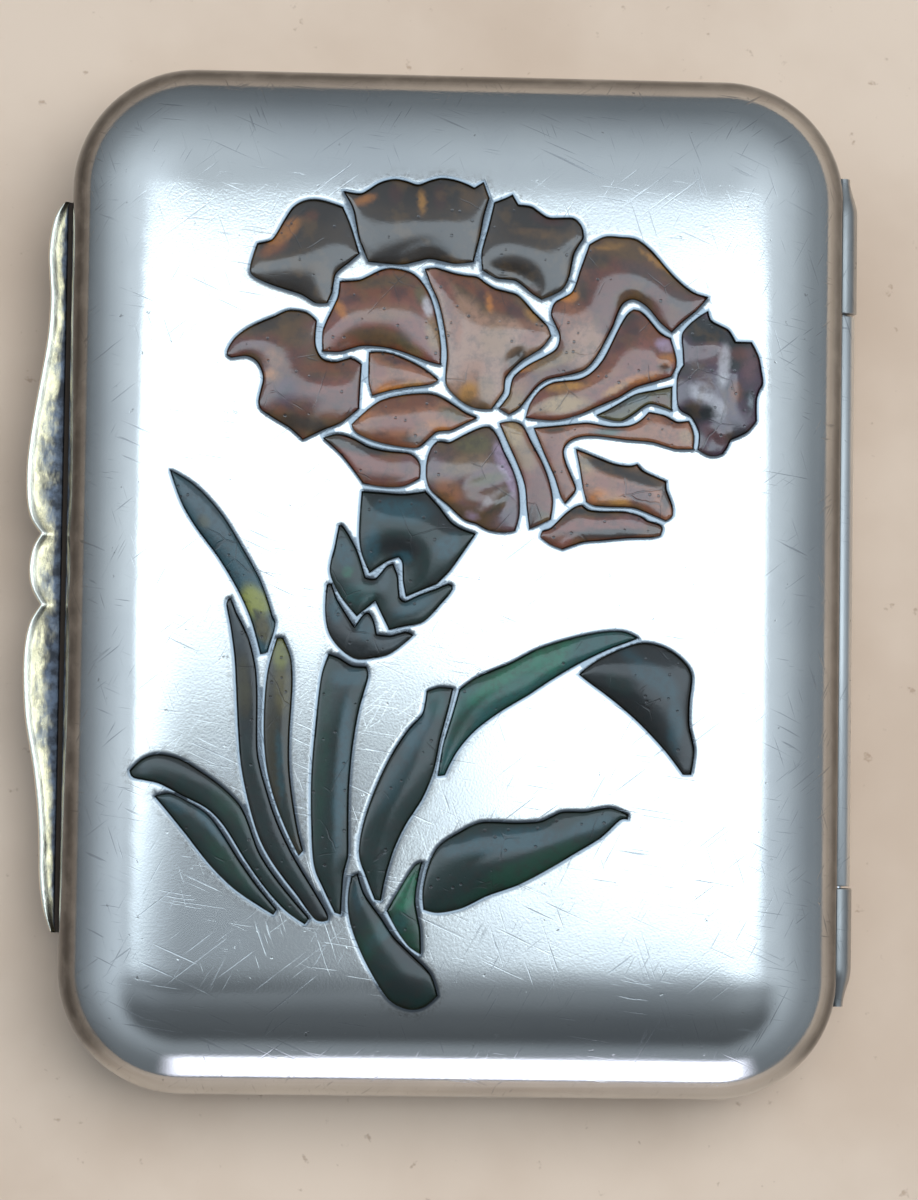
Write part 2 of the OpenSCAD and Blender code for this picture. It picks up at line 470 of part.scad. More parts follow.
base_shell();
base_bezel();
thumb_piece();
hinge_knuckle_top();
hinge_knuckle_bottom();
hinge_pin();
lining_card();
leaf_spine();
spine_bar();
spine_rivets();
lid_shell();
hinge_knuckle_middle();
lid_lining();
enamel(petals[0], petal_c);  // petal_01
enamel(petals[1], petal_c);  // petal_02
enamel(petals[2], petal_c);  // petal_03
enamel(petals[3], petal_c);  // petal_04
enamel(petals[4], petal_c);  // petal_05
enamel(petals[5], petal_c);  // petal_06
enamel(petals[6], petal_c);  // petal_07
enamel(petals[7], petal_c);  // petal_08
enamel(petals[8], petal_c);  // petal_09
enamel(petals[9], petal_c);  // petal_10
enamel(petals[10], petal_c);  // petal_11
enamel(petals[11], petal_c);  // petal_12
enamel(petals[12], petal_c);  // petal_13
enamel(petals[13], petal_c);  // petal_14
enamel(petals[14], petal_c);  // petal_15
enamel(petals[15], petal_c);  // petal_16
enamel(petals[16], petal_c);  // petal_17
enamel(petals[17], petal_c);  // petal_18
enamel(calyx[0], leaf_c);  // calyx_1
enamel(calyx[1], leaf_c);  // calyx_2
enamel(calyx[2], leaf_c);  // calyx_3
enamel(stalk, leaf_c);  // stem
enamel(blades[0], leaf_c);  // blade_01
enamel(blades[1], leaf_c);  // blade_02
enamel(blades[2], leaf_c);  // blade_03
sloped_blade(blades[3]);  // blade_04
enamel(blades[4], leaf_c);  // blade_05
enamel(blades[5], leaf_c);  // blade_06
enamel(blades[6], leaf_c);  // blade_07
enamel(blades[7], leaf_c);  // blade_08
enamel(blades[8], leaf_c);  // blade_09
enamel(blades[9], leaf_c);  // blade_10
enamel(blades[10], leaf_c);  // blade_11
flannel_leaf(1);  // flannel_leaf_1
flannel_leaf(2);  // flannel_leaf_2
flannel_leaf(3);  // flannel_leaf_3
needle(1, -9, 1, 34, 1);  // needle_11
needle(1, -4, -1, 32, -1);  // needle_12
needle(1, 1, 0, 30, 1);  // needle_13
needle(2, -11, 0, 33, -1);  // needle_21
needle(2, -6, 1, 30, 1);  // needle_22
needle(2, -1, -1, 28, 1);  // needle_23
needle(3, -10, -1, 34, 1);  // needle_31
needle(3, -5, 0.5, 31, 1);  // needle_32
needle(3, 0, 0, 27, -1);  // needle_33
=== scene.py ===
# A hinged silver needle case whose lid carries an enamelled carnation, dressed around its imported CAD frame.
import math

import bmesh
import bpy
import numpy as np
from mathutils import Matrix, Vector, kdtree, noise
from mathutils.geometry import delaunay_2d_cdt


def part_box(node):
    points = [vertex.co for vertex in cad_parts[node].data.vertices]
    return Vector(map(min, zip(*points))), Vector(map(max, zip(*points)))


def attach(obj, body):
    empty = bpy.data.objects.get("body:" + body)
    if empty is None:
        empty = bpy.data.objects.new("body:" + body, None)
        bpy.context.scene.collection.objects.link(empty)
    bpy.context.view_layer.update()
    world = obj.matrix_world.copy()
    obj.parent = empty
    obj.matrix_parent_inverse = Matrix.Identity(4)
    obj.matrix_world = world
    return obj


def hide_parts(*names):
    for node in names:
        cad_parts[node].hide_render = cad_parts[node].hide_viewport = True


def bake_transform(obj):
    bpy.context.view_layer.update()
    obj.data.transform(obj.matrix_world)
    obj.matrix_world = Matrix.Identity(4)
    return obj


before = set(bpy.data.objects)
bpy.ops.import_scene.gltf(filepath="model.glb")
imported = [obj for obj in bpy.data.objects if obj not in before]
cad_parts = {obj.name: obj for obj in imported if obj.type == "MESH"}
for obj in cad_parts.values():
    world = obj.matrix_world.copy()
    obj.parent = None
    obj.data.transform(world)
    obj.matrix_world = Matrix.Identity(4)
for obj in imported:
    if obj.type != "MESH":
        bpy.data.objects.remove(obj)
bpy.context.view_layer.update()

# ---- Measures, in millimetres; the CAD has the same unless a comment says otherwise ----
MM = 0.001
LID_LOW, LID_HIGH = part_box("lid_shell")
CASE_W = 2 * -LID_LOW.x / MM
CASE_L = (LID_HIGH.y - LID_LOW.y) / MM
CASE_H = LID_HIGH.z / MM
MID_Z = CASE_H / 2
PARTING = LID_LOW.z / MM
CORNER_R = 6.2
WALL_T = 0.6
EDGE_W = 5.4            # how far in the lid's rounded edge reaches
EDGE_R = 3.0            # radius of the edge's outer arc
WALL_Z = MID_Z + 0.7    # where the upright wall ends and the outer arc starts
EDGE_H = CASE_H - WALL_Z
CROWN_R = ((EDGE_W - EDGE_R) ** 2 + EDGE_H ** 2 - EDGE_R ** 2) / (2 * (EDGE_H - EDGE_R))
HINGE_X = CASE_W / 2 + 0.1
CELL_DEPTH = 0.32
CROWN = 0.15            # how much the middle of the lid swells; flat in the CAD
EASE = 1.6              # half the width over which the lid starts to curve down; none in the CAD
KNUCKLE_END_Y = 19.4
KNUCKLE_TAPER = 1.6
TAPER_LOSS = 0.55       # the share of its radius that an end knuckle loses over its taper
KNUCKLE_R = 0.72
MIDDLE_R = 0.62         # the middle barrel; 0.5 in the CAD
MIDDLE_Y = (-15.0, 14.0)
FACE_INSET = 3.0        # where the lid's triangulated face meets its rings


# ---- Meshes ----

def add_piece(name, points, faces, body, materials, replaced=(), sharp=38, attributes=None,
              face_material=None):
    """A closed mesh, in millimetres, that rides on a body."""
    mesh = bpy.data.meshes.new(name)
    mesh.from_pydata((np.asarray(points, float) * MM).tolist(), [], faces)
    for material in materials:
        mesh.materials.append(material)
    if face_material is not None:
        mesh.polygons.foreach_set("material_index", np.asarray(face_material, np.int32))
    for key, values in (attributes or {}).items():
        values = np.asarray(values, np.float32)
        kind = "FLOAT" if values.ndim == 1 else "FLOAT_COLOR"
        layer = mesh.attributes.new(key, kind, "POINT")
        layer.data.foreach_set("value" if kind == "FLOAT" else "color", values.ravel())
    bm = bmesh.new()
    bm.from_mesh(mesh)
    bmesh.ops.recalc_face_normals(bm, faces=bm.faces)
    bm.to_mesh(mesh)
    bm.free()
    mesh.shade_smooth()
    mesh.set_sharp_from_angle(angle=math.radians(sharp))
    piece = bpy.data.objects.new(name, mesh)
    bpy.context.scene.collection.objects.link(piece)
    if body:
        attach(piece, body)
        if replaced:
            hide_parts(*replaced)
    return piece


def box_mm(node):
    """The lowest and highest corner of a CAD node, in millimetres."""
    low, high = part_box(node)
    return np.array(low) / MM, np.array(high) / MM


def strip(first, second, count):
    """Quads between two rings of count points, given their first indices."""
    return [(first + k, first + (k + 1) % count, second + (k + 1) % count, second + k)
            for k in range(count)]


def tube_faces(rings, count):
    """The sides and both end caps of a stack of rings of count points each."""
    faces = [tuple(range(count)), tuple((rings - 1) * count + k for k in range(count))]
    for r in range(rings - 1):
        faces += strip(r * count, (r + 1) * count, count)
    return faces


def slab_faces(cols, rows):
    """The faces of a grid's upper side, its lower side and the border between them."""
    across = cols + 1
    total = across * (rows + 1)
    faces = []
    for r in range(rows):
        for c in range(cols):
            a = r * across + c
            b = total + a
            faces.append((a, a + 1, a + across + 1, a + across))
            faces.append((b, b + across, b + across + 1, b + 1))
    border = [c for c in range(cols)]
    border += [r * across + cols for r in range(rows)]
    border += [rows * across + c for c in range(cols, 0, -1)]
    border += [r * across for r in range(rows, 0, -1)]
    faces += [(a, b, total + b, total + a) for a, b in zip(border, border[1:] + border[:1])]
    return faces


def turned(place, x, y, turn):
    """How far points lie from (x, y), along and across a direction at some degrees."""
    a = math.radians(turn)
    dx, dy = place[:, 0] - x, place[:, 1] - y
    return dx * math.cos(a) + dy * math.sin(a), dy * math.cos(a) - dx * math.sin(a)


def waviness(place, scale_x, scale_y, seed):
    """Slow random waves over points, about -1 to 1."""
    return np.array([noise.noise(Vector((x * scale_x, y * scale_y, seed))) for x, y in place])


def smooth(t):
    """Goes gently from 0 to 1 as t does."""
    t = np.clip(t, 0, 1)
    return t * t * (3 - 2 * t)


def inset(x, y):
    """How far a point lies inside the case's rounded rectangle."""
    qx = np.abs(x) - (CASE_W / 2 - CORNER_R)
    qy = np.abs(y) - (CASE_L / 2 - CORNER_R)
    outside = np.hypot(np.maximum(qx, 0), np.maximum(qy, 0))
    return CORNER_R - outside - np.minimum(np.maximum(qx, qy), 0)


EDGE_C = np.array([EDGE_R, WALL_Z])                    # centre of the edge's arc: inset, height
CROWN_C = np.array([EDGE_W, CASE_H - CROWN_R])         # centre of the shoulder's arc
JOIN = EDGE_C + EDGE_R * (EDGE_C - CROWN_C) / np.linalg.norm(EDGE_C - CROWN_C)


def shoulder_z(u):
    """Height of the lid's outside at inset u."""
    u = np.asarray(u, float)
    crown = CROWN_C[1] + np.sqrt(np.maximum(CROWN_R ** 2 - (EDGE_W - u) ** 2, 0))
    edge = WALL_Z + np.sqrt(np.maximum(EDGE_R ** 2 - (EDGE_R - u) ** 2, 0))
    return np.where(u >= EDGE_W, CASE_H, np.where(u >= JOIN[0], crown, edge))


def eased(u):
    """How far below its arcs the lid lies where flat and shoulder run gently into each other."""
    t = EDGE_W - np.asarray(u, float)
    inner = np.where(t < EASE, np.clip(t + EASE, 0, None) ** 3 / (6 * EASE), t ** 2 + EASE ** 2 / 3)
    return (inner - np.clip(t, 0, None) ** 2) / (2 * CROWN_R)


def lid_z(x, y):
    """Height of the lid's outside at a place."""
    swell = (1 - (x / (CASE_W / 2)) ** 2) * (1 - (y / (CASE_L / 2)) ** 2)
    u = inset(x, y)
    return shoulder_z(u) - eased(u) + CROWN * np.clip(swell, 0, 1)


def arc_profile(radius_less, count_edge, count_crown, u_last):
    """Points (inset, height) from the wall up over the edge to inset u_last, moved in by radius_less."""
    join_dir = (EDGE_C - CROWN_C) / np.linalg.norm(EDGE_C - CROWN_C)
    join_angle = math.atan2(join_dir[1], -join_dir[0])
    points = []
    for k in range(count_edge):
        a = join_angle * k / count_edge
        points.append(EDGE_C + (EDGE_R - radius_less) * np.array([-math.cos(a), math.sin(a)]))
    last_angle = math.acos(max(-1, min(1, (EDGE_W - u_last) / (CROWN_R - radius_less))))
    for k in range(count_crown + 1):
        a = join_angle + (last_angle - join_angle) * k / count_crown
        points.append(CROWN_C + (CROWN_R - radius_less) * np.array([-math.cos(a), math.sin(a)]))
    return points


def ring_stations(step=0.42, corner_steps=22):
    """Skeleton points and outward normals once round the case, from the hinge side."""
    hx, hy = CASE_W / 2 - CORNER_R, CASE_L / 2 - CORNER_R
    breaks = [y + side for y in MIDDLE_Y for side in (-0.03, 0.03)]
    side_y = np.linspace(-hy, hy, int(2 * hy / step) + 1)
    hinge_y = np.unique(np.concatenate([side_y, breaks]))
    side_x = np.linspace(-hx, hx, int(2 * hx / step) + 1)
    points, normals = [], []

    def side(places, normal):
        points.extend(places)
        normals.extend([normal] * len(places))

    def corner(cx, cy, start):
        for k in range(1, corner_steps):
            a = start + math.pi / 2 * k / corner_steps
            points.append((cx, cy))
            normals.append((math.cos(a), math.sin(a)))

    side([(hx, y) for y in hinge_y], (1, 0))
    corner(hx, hy, 0)
    side([(x, hy) for x in side_x[::-1]], (0, 1))
    corner(-hx, hy, math.pi / 2)
    side([(-hx, y) for y in side_y[::-1]], (-1, 0))
    corner(-hx, -hy, math.pi)
    side([(x, -hy) for x in side_x], (0, -1))
    corner(hx, -hy, 3 * math.pi / 2)
    return np.array(points, float), np.array(normals, float)


RING_P, RING_N = ring_stations()


def ring(u, z):
    """One closed ring round the case at inset u and height z."""
    xy = RING_P + RING_N * (CORNER_R - u)
    return np.column_stack([xy, np.full(len(xy), float(z))])


def clear_hinge(points, outer_r, inner_r, inner):
    """Pushes wall points near the hinge out to the radius that the knuckles need."""
    y = np.abs(points[:, 1])
    in_middle = (points[:, 1] > MIDDLE_Y[0]) & (points[:, 1] < MIDDLE_Y[1])
    taper = 1 - TAPER_LOSS * np.clip((y - KNUCKLE_END_Y) / KNUCKLE_TAPER, 0, 1)
    taper = np.where(y > KNUCKLE_END_Y + KNUCKLE_TAPER, 0, taper)
    radius = np.where(in_middle, inner_r, outer_r * taper)
    radius = radius + (0.07 if inner else 0) * (radius > 0)
    dx, dz = points[:, 0] - HINGE_X, points[:, 2] - MID_Z
    far = np.hypot(dx, dz)
    push = (far < radius) & (points[:, 0] > 0)
    scale = np.where(push, radius / np.maximum(far, 1e-6), 1)
    moved = points.copy()
    moved[:, 0] = HINGE_X + dx * scale
    moved[:, 2] = MID_Z + dz * scale
    return moved


def shell_profile():
    """(inset, height, is inner) from the face's border, round the parting edge, to the ceiling."""
    outer = [(u, z, False) for u, z in arc_profile(0, 9, 7, FACE_INSET)][::-1]
    wall = [(0, z, False) for z in (5.2, 5.05, 4.9, 4.78)] + [(0.015, PARTING + 0.05, False)]
    parting = [(0.06, PARTING, False), (WALL_T - 0.06, PARTING, True), (WALL_T, PARTING + 0.06, True)]
    inner_wall = [(WALL_T, z, True) for z in (4.85, 5.0, 5.15)]
    inner = [(u, z, True) for u, z in arc_profile(WALL_T, 8, 12, EDGE_W)]
    return outer + wall + parting + inner_wall + inner


# ---- Cell outlines, from the enamel nodes ----

def lowest_outline(node):
    """The closed outline of a node's lowest face, in millimetres, turning anticlockwise."""
    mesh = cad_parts[node].data
    co = np.array([v.co for v in mesh.vertices]) / MM
    floor = co[:, 2].min()
    index, places = {}, []
    ids = []
    for p in co:
        if p[2] > floor + 0.01:
            ids.append(-1)
            continue
        key = (round(p[0], 3), round(p[1], 3))
        if key not in index:
            index[key] = len(places)
            places.append(key)
        ids.append(index[key])
    seen = {}
    for face in mesh.polygons:
        corner = [ids[v] for v in face.vertices]
        if min(corner) < 0:
            continue
        for a, b in zip(corner, corner[1:] + corner[:1]):
            seen[(a, b)] = True
    following = {a: b for a, b in seen if (b, a) not in seen and a != b}
    start = next(iter(following))
    chain, here = [start], following[start]
    while here != start:
        chain.append(here)
        here = following[here]
    loop = np.array([places[k] for k in chain])
    area = np.sum(loop[:, 0] * np.roll(loop[:, 1], -1) - loop[:, 1] * np.roll(loop[:, 0], -1))
    return loop if area > 0 else loop[::-1]


def refine(loop, step, corner_deg=36):
    """The same outline, curved through its points, with its sharp corners kept."""
    n = len(loop)
    ahead = np.roll(loop, -1, 0) - loop
    behind = np.roll(ahead, 1, 0)
    turn = np.arctan2(behind[:, 0] * ahead[:, 1] - behind[:, 1] * ahead[:, 0], (behind * ahead).sum(1))
    sharp = np.abs(turn) > math.radians(corner_deg)
    points = []
    for i in range(n):
        j = (i + 1) % n
        p1, p2 = loop[i], loop[j]
        p0 = 2 * p1 - p2 if sharp[i] else loop[i - 1]
        p3 = 2 * p2 - p1 if sharp[j] else loop[(i + 2) % n]
        count = max(1, math.ceil(np.linalg.norm(p2 - p1) / step))
        for k in range(count):
            t = k / count
            points.append(0.5 * (2 * p1 + (p2 - p0) * t + (2 * p0 - 5 * p1 + 4 * p2 - p3) * t * t
                                 + (3 * p1 - p0 - 3 * p2 + p3) * t ** 3))
    return np.array(points)


def inside(points, loop):
    """Which points lie inside a closed outline."""
    x, y = points[:, 0], points[:, 1]
    hit = np.zeros(len(points), bool)
    for a, b in zip(loop, np.roll(loop, -1, 0)):
        crosses = (a[1] > y) != (b[1] > y)
        rise = b[1] - a[1] if abs(b[1] - a[1]) > 1e-12 else 1e-12
        hit ^= crosses & (x < (b[0] - a[0]) * (y - a[1]) / rise + a[0])
    return hit


def outward(loop):
    """The outward normal at each point of an outline."""
    ahead = np.roll(loop, -1, 0) - np.roll(loop, 1, 0)
    length = np.maximum(np.linalg.norm(ahead, axis=1, keepdims=True), 1e-9)
    return np.column_stack([ahead[:, 1], -ahead[:, 0]]) / length


def hex_points(low, high, step):
    """A jittered triangular lattice over a box."""
    rng = np.random.default_rng(11)
    rows = []
    for k, y in enumerate(np.arange(low[1], high[1], step * 0.866)):
        xs = np.arange(low[0] + (k % 2) * step / 2, high[0], step)
        rows.append(np.column_stack([xs, np.full(len(xs), y)]))
    grid = np.concatenate(rows)
    return grid + rng.uniform(-0.12, 0.12, grid.shape) * step


def nearest_tree(points):
    """A search tree over flat points."""
    tree = kdtree.KDTree(len(points))
    for k, p in enumerate(points):
        tree.insert((p[0], p[1], 0), k)
    tree.balance()
    return tree


def distances(points, tree):
    """How far each point lies from the nearest one in the tree, seen from above."""
    return np.array([tree.find((p[0], p[1], 0))[2] for p in points])


def triangulate(points, loops):
    """Constrained triangles inside the loops; each comes with the last loop that holds it."""
    flat = [Vector((float(p[0]), float(p[1]))) for p in points]
    result = delaunay_2d_cdt(flat, [], [list(map(int, loop)) for loop in loops], 1, 1e-4, True)
    vertices, triangles, sources, holders = result[0], result[2], result[3], result[5]
    place = np.array([[v.x, v.y] for v in vertices])
    where = {}
    for new, olds in enumerate(sources):
        for old in olds:
            where[old] = new
    owner = [max(h) if h else 0 for h in holders]
    return place, triangles, owner, where


PETALS = [f"petal_{k:02d}" for k in range(1, 19)]
CALYX = [f"calyx_{k}" for k in range(1, 4)]
BLADES = [f"blade_{k:02d}" for k in range(1, 12)]
CELLS = PETALS + CALYX + ["stem"] + BLADES
RIM_STEP = 0.13
OUTLINES = {node: refine(lowest_outline(node), RIM_STEP) for node in CELLS}
RIM_TREE = nearest_tree(np.concatenate(list(OUTLINES.values())))


# ---- Materials ----

def linear(rgb):
    """Linear colour from 0-255 values."""
    c = np.asarray(rgb, float) / 255
    return np.where(c <= 0.04045, c / 12.92, ((c + 0.055) / 1.055) ** 2.4)


def srgb(*rgb):
    """A linear colour for a socket, from 0-255 values."""
    return tuple(linear(rgb))


class Nodes:
    """A short way to write a node tree: add returns a node, the other calls return an output."""

    def __init__(self, name, world=False):
        owner = (bpy.data.worlds if world else bpy.data.materials).new(name)
        owner.use_nodes = True
        self.owner, self.tree = owner, owner.node_tree
        self.tree.nodes.clear()

    def add(self, kind, inputs=None, **settings):
        """A node with its settings; each input is a value or the socket that feeds it."""
        node = self.tree.nodes.new("ShaderNode" + kind)
        for key, value in settings.items():
            setattr(node, key, value)
        for key, value in (inputs or {}).items():
            self.feed(node.inputs[key], value)
        return node

    def feed(self, socket, value):
        """Links a socket's value or sets it; a plain colour gets its alpha."""
        if isinstance(value, bpy.types.NodeSocket):
            self.tree.links.new(value, socket)
        elif socket.type == "RGBA" and len(value) == 3:
            socket.default_value = (*value, 1)
        else:
            socket.default_value = value

    def math(self, operation, a, b=0.0):
        return self.add("Math", {0: a, 1: b}, operation=operation).outputs[0]

    def times(self, a, b):
        return self.math("MULTIPLY", a, b)

    def plus(self, a, b):
        return self.math("ADD", a, b)

    def minus(self, a, b):
        return self.math("SUBTRACT", a, b)

    def attribute(self, name, output="Fac"):
        """A value stored on the mesh."""
        return self.add("Attribute", attribute_name=name).outputs[output]

    def mix(self, share, a, b):
        """Colour a where share is 0, colour b where it is 1."""
        node = self.add("Mix", {"Factor": share, 6: a, 7: b}, data_type="RGBA")
        return node.outputs[2]

    def remap(self, value, low, high, to_low=0.0, to_high=1.0, style="SMOOTHSTEP"):
        """Goes from to_low to to_high as the value goes from low to high."""
        return self.add("MapRange", {"Value": value, "From Min": low, "From Max": high,
                                     "To Min": to_low, "To Max": to_high},
                        interpolation_type=style).outputs[0]

    def place(self, scale=1000.0, turn=0.0, stretch=(1, 1, 1)):
        """Object coordinates in millimetres, turned about Z and stretched."""
        point = self.add("TexCoord").outputs["Object"]
        turned = self.add("Mapping", {"Vector": point, "Rotation": (0, 0, math.radians(turn))})
        scales = tuple(scale * s for s in stretch)
        return self.add("Mapping", {"Vector": turned.outputs[0], "Scale": scales}).outputs[0]

    def noise(self, scale, detail=3.0, roughness=0.55, place=None):
        """Noise over the piece in millimetres, or over the given place."""
        inputs = {"Vector": place or self.place(), "Scale": scale, "Detail": detail, "Roughness": roughness}
        return self.add("TexNoise", inputs).outputs["Fac"]

    def bump(self, height, distance, strength):
        inputs = {"Height": height, "Distance": distance, "Strength": strength}
        return self.add("Bump", inputs).outputs[0]

    def shader(self, **inputs):
        """Ends the tree with a Principled shader and returns the material."""
        node = self.add("BsdfPrincipled", {k.replace("_", " "): v for k, v in inputs.items()})
        self.add("OutputMaterial", {"Surface": node.outputs[0]})
        return self.owner


def scratches(n, turns, density):
    """Fine straight scratches at several angles, 0 to 1."""
    total = None
    for k, turn in enumerate(turns):
        place = n.place(turn=turn, stretch=(0.16 + 0.05 * k, 6.5 + 1.2 * k, 1))
        lines = n.remap(n.noise(1.0, 2.0, 0.4, place), density, density + 0.06)
        patch = n.remap(n.noise(0.22 + 0.05 * k, 2.0, place=n.place(turn=turn + 31)), 0.44, 0.62)
        one = n.times(lines, patch)
        total = one if total is None else n.math("MAXIMUM", total, one)
    return total


def sooted_and_rim_shaded(n, base):
    """Darkens the silver round the cells: dirty brown flecks, grey where two cells are close, and a line of
    painted shade at the rim.
    """
    soot_and_rim_shade = n.attribute("soot_and_rim_shade")
    fleck = n.remap(n.noise(4.5, 5.0, 0.75), 0.40, 0.68)
    ring = n.times(n.remap(soot_and_rim_shade, 0.06, 0.4), n.remap(soot_and_rim_shade, 0.75, 0.5))
    base = n.mix(n.times(n.times(ring, fleck), 0.35), base, srgb(110, 94, 74))
    base = n.mix(n.remap(soot_and_rim_shade, 0.46, 0.74, 0.0, 0.86), base, srgb(98, 108, 118))
    # Painted shade: a dark line right at each cell's rim.
    line = n.times(n.remap(soot_and_rim_shade, 0.84, 0.98), n.remap(fleck, 0.0, 1.0, 0.8, 1.0))
    return n.mix(line, base, srgb(52, 56, 60))


def silver_material(name, lid=False, rough=0.10):
    """Worn silver: clouded polish, hairlines, small pits, and darkening where the mesh says so, partly
    tarnished and partly painted shade.
    """
    n = Nodes(name)
    clouds = n.noise(0.09, 4.0)
    grain = n.noise(9.0, 2.0, 0.5)
    lines = scratches(n, (24, -38, 71, 8, -62), 0.67)
    pits = n.remap(n.noise(2.3, 3.0, 0.6), 0.70, 0.76)
    base = n.mix(n.remap(clouds, 0.35, 0.7), srgb(238, 236, 232), srgb(224, 223, 221))
    base = n.mix(n.times(lines, 0.5), base, srgb(150, 152, 156))
    base = n.mix(n.times(pits, 0.45), base, srgb(96, 90, 84))
    # This attribute is partly real tarnish and partly painted shade on the shells' edges towards the parting
    # line.
    tarnish_and_shade = n.attribute("tarnish_and_shade")
    patchy = n.remap(n.noise(0.7, 4.0, 0.6), 0.25, 0.6, 0.88, 1.0)
    base = n.mix(n.times(tarnish_and_shade, patchy), base, srgb(72, 69, 67))
    if lid:
        base = sooted_and_rim_shaded(n, base)
    roughness = n.plus(n.remap(clouds, 0.3, 0.7, rough - 0.02, rough + 0.04), n.times(lines, 0.12))
    hollows = n.plus(n.times(lines, 0.38), pits)
    height = n.minus(n.times(grain, 0.36), hollows)
    return n.shader(Base_Color=base, Metallic=1.0, Roughness=roughness,
                    Normal=n.bump(height, 0.000010, 0.4))


def oxide_material():
    """The dark skin on the walls and floors of the cells."""
    n = Nodes("cell_oxide")
    spots = n.noise(2.5, 4.0)
    base = n.mix(n.remap(spots, 0.4, 0.6), srgb(40, 42, 46), srgb(86, 90, 96))
    return n.shader(Base_Color=base, Metallic=1.0, Roughness=0.42, Normal=n.bump(spots, 0.00002, 0.6))


def gilt_material():
    """Gilding rubbed to bare silver where worn, and darkened where the mesh says so, by grimy build-up and
    painted shade.
    """
    n = Nodes("gilt_silver")
    worn = n.attribute("worn")
    grime_and_gap_shade = n.attribute("grime_and_gap_shade")
    clouds = n.noise(0.9, 6.0, 0.65)
    blots = n.noise(1.1, 6.0, 0.7, place=n.place(stretch=(1.6, 0.6, 1)))
    gold = n.mix(n.remap(clouds, 0.3, 0.7), srgb(232, 214, 172), srgb(196, 182, 150))
    base = n.mix(n.times(worn, n.remap(clouds, 0.3, 0.5, 0.8, 1.0)), gold, srgb(236, 230, 214))
    level = n.plus(grime_and_gap_shade, n.remap(blots, 0.3, 0.7, -0.2, 0.2))
    # Grime with painted shade: dark grey to blue-grey where the rail is grimy or shaded.
    dirt_and_shade_tone = n.mix(n.remap(clouds, 0.40, 0.65), srgb(78, 78, 82), srgb(126, 134, 148))
    base = n.mix(n.remap(level, 0.08, 0.62), base, dirt_and_shade_tone)
    # Painted shade: dull brown in the gap by the case and under the rail.
    caked_gap_shade = n.remap(grime_and_gap_shade, 0.88, 1.0)
    base = n.mix(caked_gap_shade, base, srgb(92, 82, 74))
    rough = n.remap(level, 0.1, 0.8, 0.2, 0.5)
    metal = n.minus(1.0, n.times(caked_gap_shade, 0.9))
    return n.shader(Base_Color=base, Metallic=metal, Roughness=rough,
                    Normal=n.bump(blots, 0.00003, 0.5))


def enamel_material(name, coat_ior, warmth):
    """Glassy enamel: its colour, with painted shade and painted highlights, is stored on the mesh, with
    mottling, bubbles, pits and cracks on top.
    """
    n = Nodes(name)
    # The stain attribute holds the enamel's colour with painted shade and painted highlights and reflections.
    stain = n.attribute("stain", "Color")
    mottle = n.noise(2.0, 6.0, 0.68)
    base = n.mix(n.remap(mottle, 0.42, 0.68, 0.0, 0.45), stain, (0.012, 0.008, 0.006))
    warm = n.remap(n.noise(0.9, 3.0, place=n.place(turn=25)), 0.50, 0.68, 0.0, warmth)
    base = n.mix(warm, base, n.mix(0.5, base, (0.14, 0.07, 0.012)))
    cells = n.add("TexVoronoi", {"Vector": n.place(), "Scale": 1.9})
    chosen = n.math("GREATER_THAN", n.add("SeparateColor", {0: cells.outputs["Color"]}).outputs[0], 0.45)
    pits = n.times(n.remap(cells.outputs["Distance"], 0.19, 0.10), chosen)
    drift = n.add("TexNoise", {"Vector": n.place(), "Scale": 0.8}).outputs["Color"]
    bent = n.add("MixRGB", {"Fac": 0.35, "Color1": n.place(), "Color2": drift}, blend_type="ADD")
    net = n.add("TexVoronoi", {"Vector": bent.outputs[0], "Scale": 0.42}, feature="DISTANCE_TO_EDGE")
    patch = n.remap(n.noise(0.45, 2.0, place=n.place(turn=70)), 0.52, 0.62, 0.0, 0.55)
    cracks = n.times(n.remap(net.outputs["Distance"], 0.016, 0.006), patch)
    flaws = n.math("MAXIMUM", pits, cracks)
    base = n.mix(n.times(flaws, 0.8), base, (0.012, 0.009, 0.009))
    height = n.minus(n.times(mottle, 0.5), flaws)
    return n.shader(Base_Color=base, Roughness=0.38, Specular_IOR_Level=0.35, Coat_Weight=1.0,
                    Coat_Roughness=0.035, Coat_IOR=coat_ior, Normal=n.bump(height, 0.00003, 0.4),
                    Coat_Normal=n.bump(height, 0.000015, 0.35))


def flannel_material():
    """Undyed wool flannel with a raised nap."""
    n = Nodes("wool_flannel")
    fuzz = n.noise(3.4, 6.0, 0.75)
    nap = n.noise(6.0, 4.0, 0.7, place=n.place(turn=18, stretch=(0.6, 1.6, 1)))
    cloud = n.noise(0.12, 3.0)
    base = n.mix(n.remap(cloud, 0.35, 0.7), srgb(226, 211, 180), srgb(205, 186, 150))
    base = n.mix(n.remap(fuzz, 0.45, 0.75, 0.0, 0.35), base, srgb(168, 146, 110))
    height = n.plus(fuzz, nap)
    return n.shader(Base_Color=base, Roughness=0.95, Sheen_Weight=0.45, Sheen_Roughness=0.5,
                    Normal=n.bump(height, 0.00018, 0.8))


